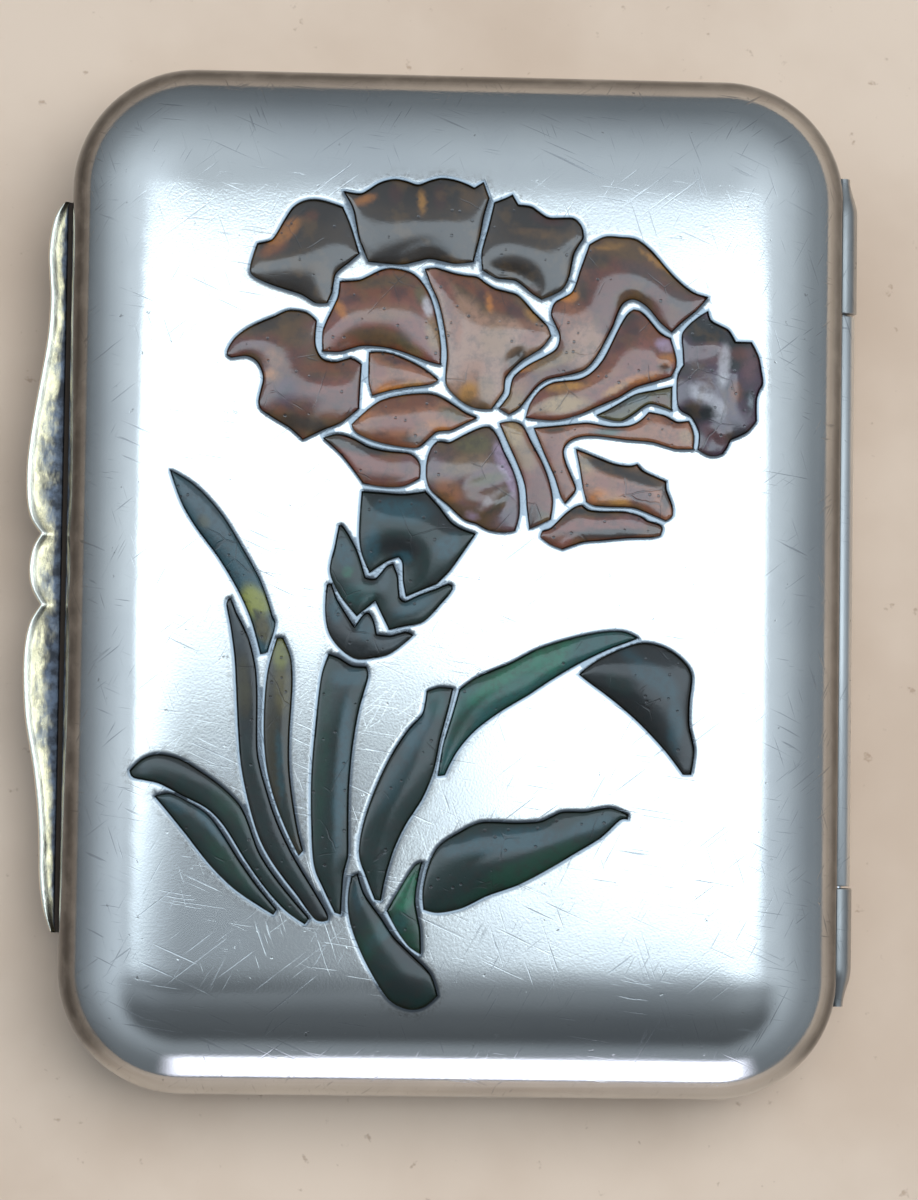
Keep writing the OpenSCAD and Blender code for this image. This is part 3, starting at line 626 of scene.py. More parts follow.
def silk_material():
    """Faded red silk with a fine weave."""
    n = Nodes("lining_silk")

    def threads(direction):
        inputs = {"Vector": n.place(), "Scale": 1.9, "Distortion": 0.4, "Detail": 1.0}
        return n.add("TexWave", inputs, bands_direction=direction).outputs["Fac"]

    weave = n.times(threads("X"), threads("Y"))
    cloud = n.noise(0.8, 4.0, place=n.place(stretch=(0.4, 2.0, 1)))
    base = n.mix(n.remap(cloud, 0.3, 0.7), srgb(158, 66, 72), srgb(184, 92, 94))
    base = n.mix(n.times(weave, 0.3), base, srgb(214, 138, 134))
    return n.shader(Base_Color=base, Roughness=0.46, Sheen_Weight=0.6, Sheen_Roughness=0.3,
                    Specular_IOR_Level=0.6, Normal=n.bump(weave, 0.00006, 0.6))


def steel_material():
    """Polished needle steel, gilt where the eyes are and dulled in patches."""
    n = Nodes("needle_steel")
    ends = n.add("SeparateXYZ", {0: n.add("TexCoord").outputs["Generated"]}).outputs["Y"]
    band = n.math("ABSOLUTE", n.minus(ends, 0.5))
    eye = n.remap(band, 0.455, 0.475)
    stain = n.remap(n.noise(1.1, 4.0), 0.5, 0.75)
    base = n.mix(n.times(stain, 0.35), srgb(206, 208, 212), srgb(120, 112, 104))
    base = n.mix(n.times(eye, 0.55), base, srgb(214, 176, 96))
    rough = n.remap(stain, 0.0, 1.0, 0.14, 0.36)
    return n.shader(Base_Color=base, Metallic=1.0, Roughness=rough)


SILVER = silver_material("satin_silver")
BARREL_SILVER = silver_material("barrel_silver", rough=0.34)
LID_SILVER = silver_material("lid_silver", lid=True)
OXIDE = oxide_material()
GILT = gilt_material()
PETAL_ENAMEL = enamel_material("petal_enamel", 1.68, 0.5)
LEAF_ENAMEL = enamel_material("leaf_enamel", 1.44, 0.0)
FLANNEL = flannel_material()
SILK = silk_material()
STEEL = steel_material()


# ---- The two shells ----

def shell_rings(outer_r, middle_r, mirrored):
    """Rings of points from the face's border outside to the ceiling inside."""
    rings = []
    for u, z, inner in shell_profile():
        points = ring(u, z)
        if not inner and not mirrored:
            points[:, 2] = np.where(points[:, 2] > WALL_Z, lid_z(points[:, 0], points[:, 1]), points[:, 2])
        rings.append(clear_hinge(points, outer_r, middle_r, inner))
    if mirrored:
        for points in rings:
            points[:, 2] = CASE_H - points[:, 2]
    return rings


# Small dents in the lid: (x, y, radius, depth).
DENTS = [(16.8, 10.0, 0.32, 0.05), (12.4, -1.6, 0.2, 0.02), (-14.6, 13.0, 0.3, 0.02)]
CELL_LIP = 0.012         # how far the silver is rounded down at a cell's rim
LATTICE = 0.5            # spacing of the face's points away from the cells


def lid_dents(x, y):
    """How deep the dents are at each place."""
    depth = np.zeros(len(x))
    for cx, cy, radius, deep in DENTS:
        depth += deep * np.exp(-((x - cx) ** 2 + (y - cy) ** 2) / radius ** 2)
    return depth


def thinned(points, gap):
    """The same points, with at most one in each square of a grid."""
    kept = {}
    for p in points:
        kept.setdefault((round(p[0] / gap), round(p[1] / gap)), p)
    return np.array(list(kept.values()))


def free_points():
    """Points of the lid's face between the cells, closer together near their rims."""
    pools = []
    for offset, gap in ((0.09, 0.10), (0.24, 0.17), (0.46, 0.26)):
        near = np.concatenate([loop + outward(loop) * offset for loop in OUTLINES.values()])
        far = distances(near, RIM_TREE)
        pools.append(thinned(near[far > min(0.8 * offset, offset - 0.02)], gap))
    grid = hex_points((-CASE_W / 2, -CASE_L / 2), (CASE_W / 2, CASE_L / 2), LATTICE)
    grid = grid[inset(grid[:, 0], grid[:, 1]) > FACE_INSET + LATTICE / 2]
    pools.append(grid[distances(grid, RIM_TREE) > 0.62])
    points = np.concatenate(pools)
    in_cell = np.zeros(len(points), bool)
    for loop in OUTLINES.values():
        in_cell |= inside(points, loop)
    return points[~in_cell]


def lid_face(border):
    """The lid's face as flat triangles: points, triangles, their cell (0 for none) and the loops."""
    loops, flat_points = [np.arange(len(border))], [border]
    total = len(border)
    for loop in OUTLINES.values():
        loops.append(np.arange(total, total + len(loop)))
        flat_points.append(loop)
        total += len(loop)
    flat_points.append(free_points())
    place, triangles, owner, where = triangulate(np.concatenate(flat_points), loops)
    return place, triangles, owner, [[where[i] for i in loop] for loop in loops]


def cell_recess(place, rim, held, base):
    """The floor and walls of one cell: floor points from index base on, floor faces, wall faces."""
    used = sorted({v for t in held for v in t} | set(rim))
    floor_id = {v: base + i for i, v in enumerate(used)}
    xy = place[used]
    z = np.minimum(lid_z(xy[:, 0], xy[:, 1]), CASE_H) - CELL_DEPTH
    floor = [tuple(floor_id[v] for v in t) for t in held]
    walls = [(a, b, floor_id[b], floor_id[a]) for a, b in zip(rim, rim[1:] + rim[:1])]
    return np.column_stack([xy, z]), floor, walls


def lid_marks(points):
    """Sooty flecks with a painted dark line round the cells, and edges that darken low down, partly tarnished
    and partly painted shade, from higher up on the left and less so on the near one.
    """
    soot_and_rim_shade = np.exp(-distances(points, RIM_TREE) / 0.28) * (points[:, 2] > CASE_H - 2)
    # Painted shade: the edges darken from this height down, starting higher on the left, and less on the near
    # side.
    start_z = CASE_H - 0.95 - 0.15 * points[:, 0] / (CASE_W / 2)
    tarnish_and_shade = smooth((start_z - points[:, 2]) / 1.6)
    tarnish_and_shade *= 1 - 0.6 * smooth((-points[:, 1] - CASE_L / 2 + 3) / 2)
    return {"soot_and_rim_shade": soot_and_rim_shade, "tarnish_and_shade": tarnish_and_shade}


def make_lid():
    """The lid: its face with a recess for each enamelled cell, then its edge, wall and inside."""
    rings = shell_rings(KNUCKLE_R + 0.06, MIDDLE_R, False)
    count = len(RING_P)
    place, triangles, owner, loops = lid_face(rings[0][:, :2])
    edge = np.exp(-distances(place, RIM_TREE) / 0.05)
    x, y = place[:, 0], place[:, 1]
    points = [np.column_stack([place, lid_z(x, y) - CELL_LIP * edge - lid_dents(x, y)])]
    faces = [tuple(t) for t, own in zip(triangles, owner) if own == 0]
    slots = [0] * len(faces)
    base = len(place)
    for k, rim in enumerate(loops[1:], 1):
        held = [t for t, own in zip(triangles, owner) if own == k]
        floor_points, floor, walls = cell_recess(place, rim, held, base)
        points.append(floor_points)
        base += len(floor_points)
        faces += floor + walls
        slots += [1] * len(floor + walls)
    first = loops[0]
    faces += [(first[k], first[(k + 1) % count], base + (k + 1) % count, base + k) for k in range(count)]
    for r in range(len(rings) - 2):
        faces += strip(base + r * count, base + (r + 1) * count, count)
    end = base + (len(rings) - 1) * count
    faces.append(tuple(range(end - count, end)))
    slots += [0] * (len(faces) - len(slots))
    points = np.concatenate(points + rings[1:])
    add_piece("lid_silver_shell", points, faces, "lid", [LID_SILVER, OXIDE], ["lid_shell"],
              sharp=48, attributes=lid_marks(points), face_material=slots)


def make_base():
    """The lower half: the lid's outside turned over, with a plain face."""
    count = len(RING_P)
    face = []
    for u in np.linspace(EDGE_W, FACE_INSET, 7)[:-1]:
        points = ring(u, 0)
        points[:, 2] = CASE_H - shoulder_z(np.full(count, u))
        face.append(points)
    rings = face + shell_rings(KNUCKLE_R, MIDDLE_R + 0.08, True)
    points = np.concatenate(rings)
    # Tarnish with painted shade, darker towards the parting line.
    tarnish_and_shade = smooth((points[:, 2] - 1.3) / 1.6)
    add_piece("base_silver_shell", points, tube_faces(len(rings), count), "base", [SILVER],
              ["base_shell"], sharp=48, attributes={"tarnish_and_shade": tarnish_and_shade})


# ---- Enamel ----

# On the enamel, pearl, lilac and steel are laid as painted highlights and reflections.
COLOURS = {
    "soil": (30, 20, 9), "umber": (46, 32, 16), "bister": (76, 52, 20), "fawn": (142, 106, 84),
    "amber": (172, 104, 30), "ochre": (164, 114, 40), "rust": (98, 48, 12), "maroon": (66, 24, 14),
    "garnet": (86, 40, 24), "rose": (108, 54, 38), "blush": (134, 82, 52), "sand": (120, 94, 56),
    "cream": (148, 122, 78), "mauve": (84, 52, 54),
    "ash": (54, 46, 42), "olive": (42, 38, 20), "moss": (78, 70, 34), "violet": (58, 34, 52),
    "lilac": (140, 120, 144), "pearl": (184, 184, 190), "slate": (18, 60, 70), "teal": (6, 64, 62),
    "green": (4, 52, 34), "jade": (4, 104, 70), "ink": (8, 13, 13), "lime": (122, 126, 48),
    "steel": (50, 68, 76), "pine": (5, 30, 26),
}

# Each cell: its ground colour, the colour of painted shade on its sloping edges, and stains of
# (x, y, radius along, radius across, turn, colour, strength); the pearl, lilac and steel ones are painted
# highlights and reflections.
ENAMEL = {
    "petal_01": ("umber", "soil", [
        (-9.0, 16.8, 1.3, 0.4, 48, "amber", 0.6), (-9.4, 16.1, 0.9, 0.3, 20, "rust", 0.6),
        (-7.6, 17.8, 0.5, 0.3, 20, "rust", 0.5)]),
    "petal_02": ("umber", "soil", [
        (-2.1, 18.6, 0.2, 0.7, 4, "ochre", 0.6), (-4.9, 18.7, 0.6, 0.25, 20, "amber", 0.55),
        (0.2, 18.8, 0.5, 0.6, 0, "bister", 0.7),
        (-3.4, 19.0, 0.35, 0.6, 0, "maroon", 0.4), (-1.2, 18.9, 0.35, 0.7, 0, "maroon", 0.35)]),
    "petal_03": ("umber", "soil", [
        (3.6, 17.2, 1.4, 0.25, -6, "bister", 0.8), (4.2, 17.9, 0.9, 0.3, -10, "maroon", 0.5),
        (2.6, 16.2, 1.6, 0.6, -10, "ash", 0.35), (3.4, 14.3, 0.4, 0.3, 0, "rust", 0.4)]),
    "petal_04": ("garnet", "bister", [
        (8.0, 16.4, 1.7, 0.35, -8, "bister", 0.9), (9.6, 15.9, 1.2, 0.14, -36, "ochre", 0.6),
        (7.2, 16.6, 0.8, 0.12, 5, "ochre", 0.45), (6.7, 15.9, 0.7, 0.45, 0, "umber", 0.9),
        (9.0, 15.2, 1.4, 0.5, -25, "ash", 0.6), (10.8, 13.9, 0.8, 0.5, -40, "ash", 0.7),
        (5.3, 14.1, 0.45, 0.4, 20, "amber", 0.95), (4.9, 13.5, 0.6, 0.3, 15, "rust", 0.8),
        (5.6, 12.6, 1.0, 1.2, 30, "blush", 0.7), (6.0, 11.6, 1.2, 1.1, 40, "fawn", 0.9),
        (3.3, 10.6, 0.7, 0.22, 28, "amber", 0.95), (4.6, 10.9, 1.4, 0.35, 20, "sand", 0.8),
        (2.5, 9.0, 0.8, 0.6, 60, "sand", 0.95), (2.9, 9.6, 0.6, 0.4, 50, "blush", 0.6),
        (6.0, 14.4, 0.25, 0.7, 10, "umber", 0.8)]),
    "petal_05": ("rose", "rust", [
        (8.3, 12.9, 0.8, 0.5, -30, "umber", 0.95), (8.2, 12.2, 1.3, 0.5, 50, "maroon", 0.85),
        (9.3, 12.4, 0.8, 0.35, -40, "rust", 0.8), (8.7, 10.9, 1.5, 0.8, 20, "rose", 0.7),
        (6.3, 10.2, 0.9, 0.25, 35, "rust", 0.85), (7.0, 11.2, 0.25, 0.7, -30, "maroon", 0.7),
        (10.1, 11.75, 0.5, 0.35, -20, "lilac", 0.9), (10.2, 11.05, 0.5, 0.3, 10, "amber", 0.7),
        (10.1, 10.6, 0.5, 0.12, -10, "umber", 0.9), (8.9, 10.1, 1.1, 0.22, 15, "amber", 0.75),
        (7.6, 9.5, 0.8, 0.22, 28, "ochre", 0.7), (5.3, 9.6, 1.2, 0.22, 6, "ochre", 0.9),
        (5.0, 8.7, 1.5, 0.5, 8, "cream", 0.85), (6.8, 9.9, 1.2, 0.4, 30, "blush", 0.6)]),
    "petal_06": ("violet", "ink", [
        (11.8, 12.6, 0.8, 0.5, 20, "ink", 0.7), (12.2, 11.3, 1.2, 0.6, 0, "mauve", 0.8),
        (12.0, 9.4, 0.75, 0.55, -40, "pearl", 0.45), (12.8, 8.6, 0.35, 0.6, 10, "pearl", 0.4),
        (13.0, 10.7, 0.32, 1.1, -4, "pearl", 0.6), (13.6, 9.5, 0.35, 0.55, 0, "rust", 0.95),
        (14.3, 10.9, 0.5, 0.9, 0, "mauve", 0.7), (13.8, 11.4, 0.4, 0.4, 0, "garnet", 0.6),
        (12.6, 7.3, 0.9, 0.4, -35, "mauve", 0.8), (11.9, 8.3, 0.5, 0.2, -30, "ink", 0.8),
        (14.4, 9.0, 0.2, 0.6, 0, "steel", 0.6), (11.4, 10.6, 0.7, 0.3, 0, "ash", 0.7)]),
    "petal_07": ("moss", "umber", [
        (8.6, 9.0, 0.9, 0.25, 12, "steel", 0.7), (9.9, 9.0, 0.5, 0.3, 0, "garnet", 0.7),
        (7.7, 8.5, 0.7, 0.25, 18, "ash", 0.7)]),
    "petal_08": ("blush", "bister", [
        (4.6, 6.6, 0.5, 1.0, 12, "rose", 0.8), (5.0, 5.2, 0.4, 0.9, 10, "garnet", 0.5),
        (7.3, 7.4, 0.9, 0.22, 0, "steel", 0.8), (7.4, 7.35, 0.7, 0.15, 0, "jade", 0.25),
        (4.7, 7.4, 0.5, 0.14, 5, "olive", 0.9), (10.4, 8.0, 0.7, 0.28, -15, "rust", 0.85),
        (10.0, 7.5, 1.3, 0.3, -3, "blush", 0.6), (5.3, 4.3, 0.35, 0.4, 0, "rust", 0.7),
        (11.2, 7.2, 0.4, 0.4, 0, "cream", 0.5)]),
    "petal_09": ("rose", "bister", [
        (2.6, 7.2, 0.6, 0.7, 20, "cream", 0.9), (3.2, 6.2, 0.5, 0.9, 20, "sand", 0.8),
        (3.9, 4.2, 0.5, 1.0, 10, "garnet", 0.85), (3.6, 3.1, 0.5, 0.7, 0, "umber", 0.7),
        (4.2, 3.1, 0.3, 0.35, 0, "moss", 0.7)]),
    "petal_10": ("mauve", "bister", [
        (0.7, 6.7, 1.0, 0.55, 5, "moss", 0.9), (0.2, 5.6, 1.2, 0.5, 10, "sand", 0.6),
        (2.0, 6.0, 0.3, 1.0, 16, "lilac", 0.9), (2.5, 4.9, 0.25, 0.9, 10, "lilac", 0.8),
        (-0.6, 4.4, 0.8, 0.5, -35, "amber", 0.35), (1.3, 4.9, 1.0, 0.3, 15, "moss", 0.9),
        (0.7, 4.1, 0.5, 0.45, 30, "garnet", 0.9), (1.5, 3.9, 0.9, 0.18, 42, "pearl", 0.3),
        (1.9, 3.7, 1.0, 0.16, 42, "olive", 0.9), (2.4, 3.1, 0.6, 0.5, 0, "violet", 0.6),
        (0.6, 3.1, 0.4, 0.2, -20, "lilac", 0.6)]),
    "petal_11": ("blush", "rust", [
        (-2.9, 8.6, 1.8, 0.35, 6, "rust", 0.9), (-0.4, 8.1, 0.8, 0.35, -20, "moss", 0.8),
        (-3.2, 7.6, 1.8, 0.4, 4, "rose", 0.8), (-4.0, 6.95, 1.2, 0.22, -12, "rust", 0.9),
        (-2.3, 6.8, 0.7, 0.25, -8, "umber", 0.8), (-1.2, 7.5, 0.7, 0.25, -8, "amber", 0.6),
        (-4.8, 7.9, 0.4, 0.3, 30, "amber", 0.5)]),
    "petal_12": ("rose", "bister", [
        (-6.2, 6.7, 0.7, 0.35, -20, "olive", 0.9), (-4.9, 6.35, 1.4, 0.35, -14, "soil", 0.95),
        (-4.2, 5.6, 1.5, 0.4, -10, "rose", 0.7), (-4.0, 4.85, 1.5, 0.28, -6, "garnet", 0.9),
        (-2.7, 5.6, 0.5, 0.5, 0, "mauve", 0.7)]),
    "petal_13": ("garnet", "bister", [
        (-9.2, 12.5, 1.5, 0.3, 18, "umber", 0.95), (-8.2, 11.8, 0.9, 0.6, 0, "bister", 0.85),
        (-10.4, 11.4, 1.0, 0.2, 5, "mauve", 0.8), (-9.3, 10.7, 0.5, 0.4, -40, "blush", 0.8),
        (-6.6, 10.3, 1.5, 0.35, 0, "rust", 0.9), (-5.5, 10.2, 0.4, 0.3, 20, "rust", 0.8),
        (-6.4, 9.4, 1.4, 0.5, 6, "rose", 0.9), (-8.6, 9.0, 0.7, 0.8, 0, "violet", 0.75),
        (-7.6, 8.6, 0.9, 0.5, 0, "mauve", 0.6), (-9.4, 9.9, 0.35, 0.3, 0, "amber", 0.8),
        (-7.7, 7.5, 1.3, 0.35, -12, "umber", 0.9), (-6.4, 8.0, 0.9, 0.3, -5, "rust", 0.8),
        (-9.0, 8.2, 0.4, 0.3, 0, "rust", 0.6)]),
    "petal_14": ("rose", "rust", [
        (-5.6, 14.2, 0.9, 0.4, 15, "rust", 0.95), (-3.9, 14.6, 1.7, 0.35, 4, "bister", 0.95),
        (-3.2, 14.1, 0.5, 0.35, 0, "maroon", 0.8), (-5.6, 13.7, 0.7, 0.25, 10, "maroon", 0.8),
        (-6.1, 13.3, 0.25, 0.6, 25, "amber", 0.8), (-2.1, 14.0, 0.3, 0.6, 12, "moss", 0.8),
        (-4.0, 13.1, 1.9, 0.5, 3, "sand", 0.35), (-4.2, 11.9, 1.9, 0.42, -3, "bister", 0.95),
        (-5.7, 11.6, 0.6, 0.28, 25, "rust", 0.8), (-2.6, 11.4, 0.8, 0.25, -32, "moss", 0.7),
        (-1.72, 13.4, 0.26, 0.6, 14, "pearl", 0.7), (-1.4, 12.2, 0.4, 0.9, 10, "cream", 0.6),
        (-6.5, 11.9, 0.4, 0.5, 0, "rose", 0.8)]),
    "petal_15": ("blush", "rust", [
        (-3.4, 10.7, 0.9, 0.16, -14, "maroon", 0.95), (-2.1, 10.35, 0.7, 0.16, -22, "rust", 0.9),
        (-4.1, 10.2, 0.5, 0.4, 0, "rose", 0.8), (-3.5, 9.35, 0.8, 0.28, 8, "amber", 0.95),
        (-2.4, 9.6, 0.6, 0.2, 5, "ochre", 0.7), (-2.2, 9.95, 0.8, 0.22, -5, "blush", 0.7)]),
    "petal_16": ("fawn", "bister", [
        (-1.2, 14.7, 0.35, 0.7, 35, "rose", 0.9), (-0.6, 13.6, 0.35, 1.3, 12, "rose", 0.9),
        (-0.3, 12.3, 0.3, 1.2, 3, "blush", 0.8), (0.3, 14.6, 1.6, 0.35, -25, "rust", 0.95),
        (1.6, 13.9, 1.6, 0.55, -28, "rust", 0.95), (2.6, 13.3, 0.6, 0.4, -30, "maroon", 0.9),
        (0.9, 14.2, 0.25, 0.5, 20, "maroon", 0.7), (1.3, 13.7, 0.16, 0.5, 10, "amber", 0.8),
        (3.4, 12.5, 0.8, 0.25, -32, "rust", 0.7), (3.4, 13.1, 0.5, 0.2, -40, "ochre", 0.5),
        (1.6, 11.8, 1.0, 0.8, 0, "sand", 0.4), (3.4, 11.9, 0.7, 0.4, 0, "rose", 0.6),
        (2.7, 10.9, 0.6, 0.35, 50, "umber", 0.9), (2.2, 10.3, 0.2, 0.4, 0, "rust", 0.8),
        (0.35, 9.2, 0.5, 0.55, 0, "ochre", 0.9), (1.2, 9.4, 0.5, 0.7, 0, "sand", 0.5),
        (0.6, 10.4, 0.9, 0.5, 0, "blush", 0.4)]),
    "petal_17": ("blush", "bister", [
        (6.2, 5.8, 0.4, 0.5, 30, "cream", 0.8), (7.3, 5.6, 1.5, 0.32, -18, "soil", 0.95),
        (9.0, 5.0, 1.3, 0.32, -15, "soil", 0.95), (7.5, 4.8, 1.1, 0.3, -12, "rose", 0.7),
        (6.8, 4.2, 0.6, 0.35, -10, "amber", 0.75), (7.9, 3.95, 0.6, 0.22, -6, "ochre", 0.8),
        (8.9, 4.3, 0.8, 0.4, -10, "mauve", 0.8), (9.6, 3.6, 0.7, 0.25, -25, "rust", 0.8),
        (10.2, 4.2, 0.25, 0.8, 0, "ink", 0.8)]),
    "petal_18": ("rose", "bister", [
        (6.4, 3.4, 1.4, 0.2, -3, "ink", 0.9), (5.3, 3.0, 0.5, 0.25, 40, "umber", 0.8),
        (7.0, 2.85, 2.0, 0.26, 3, "rose", 0.85), (8.7, 3.1, 0.8, 0.3, -5, "mauve", 0.7),
        (7.4, 2.35, 2.4, 0.25, 2, "soil", 0.95), (4.7, 2.1, 0.6, 0.3, 10, "rust", 0.9),
        (9.6, 2.6, 0.4, 0.35, 0, "ink", 0.7)]),
    "calyx_1": ("pine", "ink", [
        (-2.9, 3.3, 1.6, 0.7, 0, "slate", 0.9), (-4.3, 1.6, 0.5, 0.9, 0, "slate", 0.9),
        (-1.6, 3.9, 1.8, 0.25, -12, "ink", 0.8), (-0.6, 1.6, 0.8, 0.5, 40, "slate", 0.9),
        (-2.85, 1.5, 1.25, 0.6, 0, "ink", 1.0), (-2.85, 0.95, 0.55, 0.35, 0, "slate", 0.8)]),
    "calyx_2": ("pine", "ink", [
        (-5.7, 1.2, 0.5, 0.8, 10, "slate", 0.8), (-4.9, -0.8, 0.9, 0.5, 0, "teal", 0.7),
        (-3.7, 0.0, 0.35, 0.8, 0, "steel", 0.5), (-2.2, -1.4, 1.1, 0.4, 25, "slate", 0.8),
        (-5.5, 0.2, 0.3, 0.3, 0, "jade", 0.4)]),
    "calyx_3": ("ink", "ink", [
        (-6.1, -1.6, 0.35, 0.8, 10, "slate", 0.8), (-4.6, -2.6, 0.5, 0.6, 0, "slate", 0.7),
        (-3.4, -3.2, 0.9, 0.4, 10, "steel", 0.4)]),
    "stem": ("pine", "ink", [
        (-5.6, -9.5, 0.35, 4.2, -3, "slate", 0.8), (-6.6, -9.0, 0.35, 4.5, -3, "green", 0.4),
        (-5.4, -5.0, 0.9, 0.5, 0, "slate", 0.7)]),
    "blade_01": ("slate", "ink", [
        (-12.6, 3.3, 2.0, 0.7, -52, "steel", 0.7), (-10.1, -1.3, 1.1, 0.6, -62, "lime", 0.95),
        (-9.6, -2.6, 0.8, 0.4, -75, "moss", 0.9), (-9.9, -1.9, 0.35, 0.15, -60, "ink", 0.8),
        (-12.6, 2.6, 0.4, 0.3, -50, "moss", 0.5)]),
    "blade_02": ("ink", "olive", [
        (-11.0, -2.6, 0.3, 1.4, 8, "steel", 0.3), (-10.5, -5.4, 0.4, 1.6, 3, "moss", 0.4),
        (-9.9, -10.0, 0.5, 3.0, 14, "pine", 0.6), (-8.0, -14.4, 0.5, 2.2, 36, "pine", 0.8)]),
    "blade_03": ("olive", "ink", [
        (-8.7, -3.9, 0.45, 0.9, 5, "lime", 0.55), (-8.6, -5.6, 0.45, 1.2, 0, "moss", 0.8),
        (-8.6, -9.6, 0.2, 2.4, 5, "slate", 0.7), (-8.2, -12.0, 0.4, 1.2, 10, "pine", 0.8)]),
    "blade_04": ("pine", "ink", [
        (-15.3, -9.6, 0.4, 0.3, 20, "steel", 0.25), (-11.0, -11.6, 1.4, 0.5, -45, "green", 0.5)]),
    "blade_05": ("pine", "ink", [
        (-12.0, -12.2, 1.6, 0.3, -48, "slate", 0.9), (-11.0, -14.2, 1.8, 0.4, -48, "green", 0.6),
        (-13.8, -11.3, 0.8, 0.4, -30, "slate", 0.6)]),
    "blade_06": ("pine", "ink", [
        (-2.0, -7.6, 0.6, 1.6, -24, "slate", 0.8), (-1.0, -6.2, 0.5, 0.8, -10, "teal", 0.7),
        (-3.0, -10.0, 0.5, 1.8, -28, "slate", 0.4)]),
    "blade_07": ("teal", "green", [
        (3.0, -4.8, 3.6, 0.7, 30, "jade", 0.6), (7.0, -3.1, 1.6, 0.5, 16, "teal", 0.7),
        (0.3, -7.2, 0.5, 1.2, -30, "green", 0.8), (2.4, -5.6, 2.2, 0.4, 34, "teal", 0.6)]),
    "blade_08": ("ink", "ink", [
        (9.4, -4.5, 2.0, 0.6, -38, "slate", 0.6), (10.8, -7.0, 0.4, 1.4, 0, "slate", 0.6),
        (8.0, -5.0, 0.8, 0.5, -30, "pine", 0.7)]),
    "blade_09": ("pine", "pine", [
        (2.5, -12.9, 3.4, 0.6, 8, "slate", 0.8), (3.6, -14.2, 3.6, 0.6, 24, "green", 0.8),
        (0.2, -15.0, 1.4, 0.7, 10, "pine", 0.7), (6.8, -12.0, 1.2, 0.4, 20, "slate", 0.7)]),
    "blade_10": ("green", "pine", [
        (-2.3, -15.4, 0.5, 1.0, -20, "jade", 0.6), (-2.7, -17.0, 0.5, 0.6, -40, "teal", 0.7)]),
    "blade_11": ("pine", "ink", [
        (-3.2, -17.0, 0.4, 1.9, -38, "slate", 0.9), (-4.7, -15.6, 0.3, 0.9, 0, "slate", 0.6),
        (-4.2, -18.0, 0.7, 1.4, -34, "green", 0.5), (-2.4, -20.0, 1.0, 0.6, 0, "ink", 0.6)]),
}


def enamel_colour_with_painted_light(place, reach, tilt, node):
    """The colour of the enamel at each point, with painted shade where the glass tilts and at the rim, and
    painted highlights and reflections among its marks; tilt is how steeply the glass slopes to the north
    there.
    """
    ground, band, stains_and_glints = ENAMEL[node]
    colour = np.tile(linear(COLOURS[ground]), (len(place), 1))

    def lay(name, share):
        nonlocal colour
        colour = colour + share[:, None] * (linear(COLOURS[name]) - colour)

    wobble = waviness(place, 0.9, 0.9, 3.1)
    streak = waviness(place, 2.1, 0.4, 5.2)
    # Painted shade: where the glass slopes steeply north or south, the band colour darkens it.
    north = smooth((tilt - 0.03) / 0.06) * (1.0 + 0.5 * streak)
    south = smooth((-tilt - 0.065) / 0.05) * (0.9 + 0.5 * streak)
    lay(band, np.clip(np.maximum(north, south), 0, 0.97))
    for x, y, length, width, turn, name, strength in stains_and_glints:
        along, across = turned(place, x, y, turn)
        far = np.hypot(along / length, across / width) + 0.3 * min(1, 2 * width) * wobble
        lay(name, strength * smooth((1.25 - far) / 0.7))
    # Painted shade: dark olive right at the rim.
    lay("olive", 0.6 * np.exp(-reach / 0.07))
    return np.column_stack([colour, np.ones(len(colour))])


def dome(place, triangles, rim_count, bend):
    """Heights of a film of enamel that is held at its rim, the first rim_count points, and swells
    evenly: each patch bends by the same amount."""
    n = len(place)
    matrix, load = np.zeros((n, n)), np.zeros(n)
    for a, b, c in triangles:
        for i, j, k in ((a, b, c), (b, c, a), (c, a, b)):
            u, v = place[i] - place[k], place[j] - place[k]
            twice = abs(u[0] * v[1] - u[1] * v[0])
            weight = 0.5 * (u @ v) / max(twice, 1e-9)
            matrix[i, j] -= weight
            matrix[j, i] -= weight
            matrix[i, i] += weight
            matrix[j, j] += weight
            load[k] += twice / 6
    free = np.arange(rim_count, n)
    height = np.zeros(n)
    height[free] = np.linalg.solve(matrix[np.ix_(free, free)], bend * load[free])
    return height


def north_slope(place, triangles, height):
    """How fast the height falls towards +Y at each point."""
    fall, share = np.zeros(len(place)), np.full(len(place), 1e-9)
    for t in triangles:
        (ax, ay), (bx, by), (cx, cy) = place[list(t)]
        twice = (bx - ax) * (cy - ay) - (cx - ax) * (by - ay)
        rise = (height[t[2]] - height[t[0]]) * (bx - ax) - (height[t[1]] - height[t[0]]) * (cx - ax)
        for v in t:
            fall[v] -= rise * math.copysign(1, twice)
            share[v] += abs(twice)
    return fall / share


RIPPLES = 0.014          # height of the slow waves left in the glass
BEND = 0.135             # how fast the glass curves, per millimetre
PEAK = 0.20              # the most that the glass may swell
SUNK = 0.11              # how far the rim of the enamel lies below the silver
RIM_DIP = 0.03           # how much further it dips right at the rim
# Hollows and lumps left by the maker: (x, y, radius along, radius across, turn, height).
LUMPS = {
    "petal_03": [(2.3, 14.7, 1.2, 0.9, 0, -0.10)],
    "calyx_1": [(-2.95, 0.8, 1.2, 1.0, 0, -0.05)],
    "petal_06": [(12.2, 9.0, 0.8, 0.6, -35, 0.05), (13.6, 10.4, 0.35, 0.8, 0, 0.07),
                 (12.3, 11.9, 0.8, 0.4, 10, 0.06), (14.3, 9.0, 0.4, 0.5, 0, -0.06),
                 (12.9, 7.4, 0.6, 0.3, -30, 0.05)],
    "petal_10": [(1.1, 4.6, 1.0, 0.5, 20, -0.06), (1.9, 3.8, 0.7, 0.25, 42, 0.05)],
    "petal_05": [(10.2, 11.0, 0.45, 0.3, 10, 0.05)],
    "petal_16": [(2.6, 10.9, 0.5, 0.3, 50, -0.05)],
}


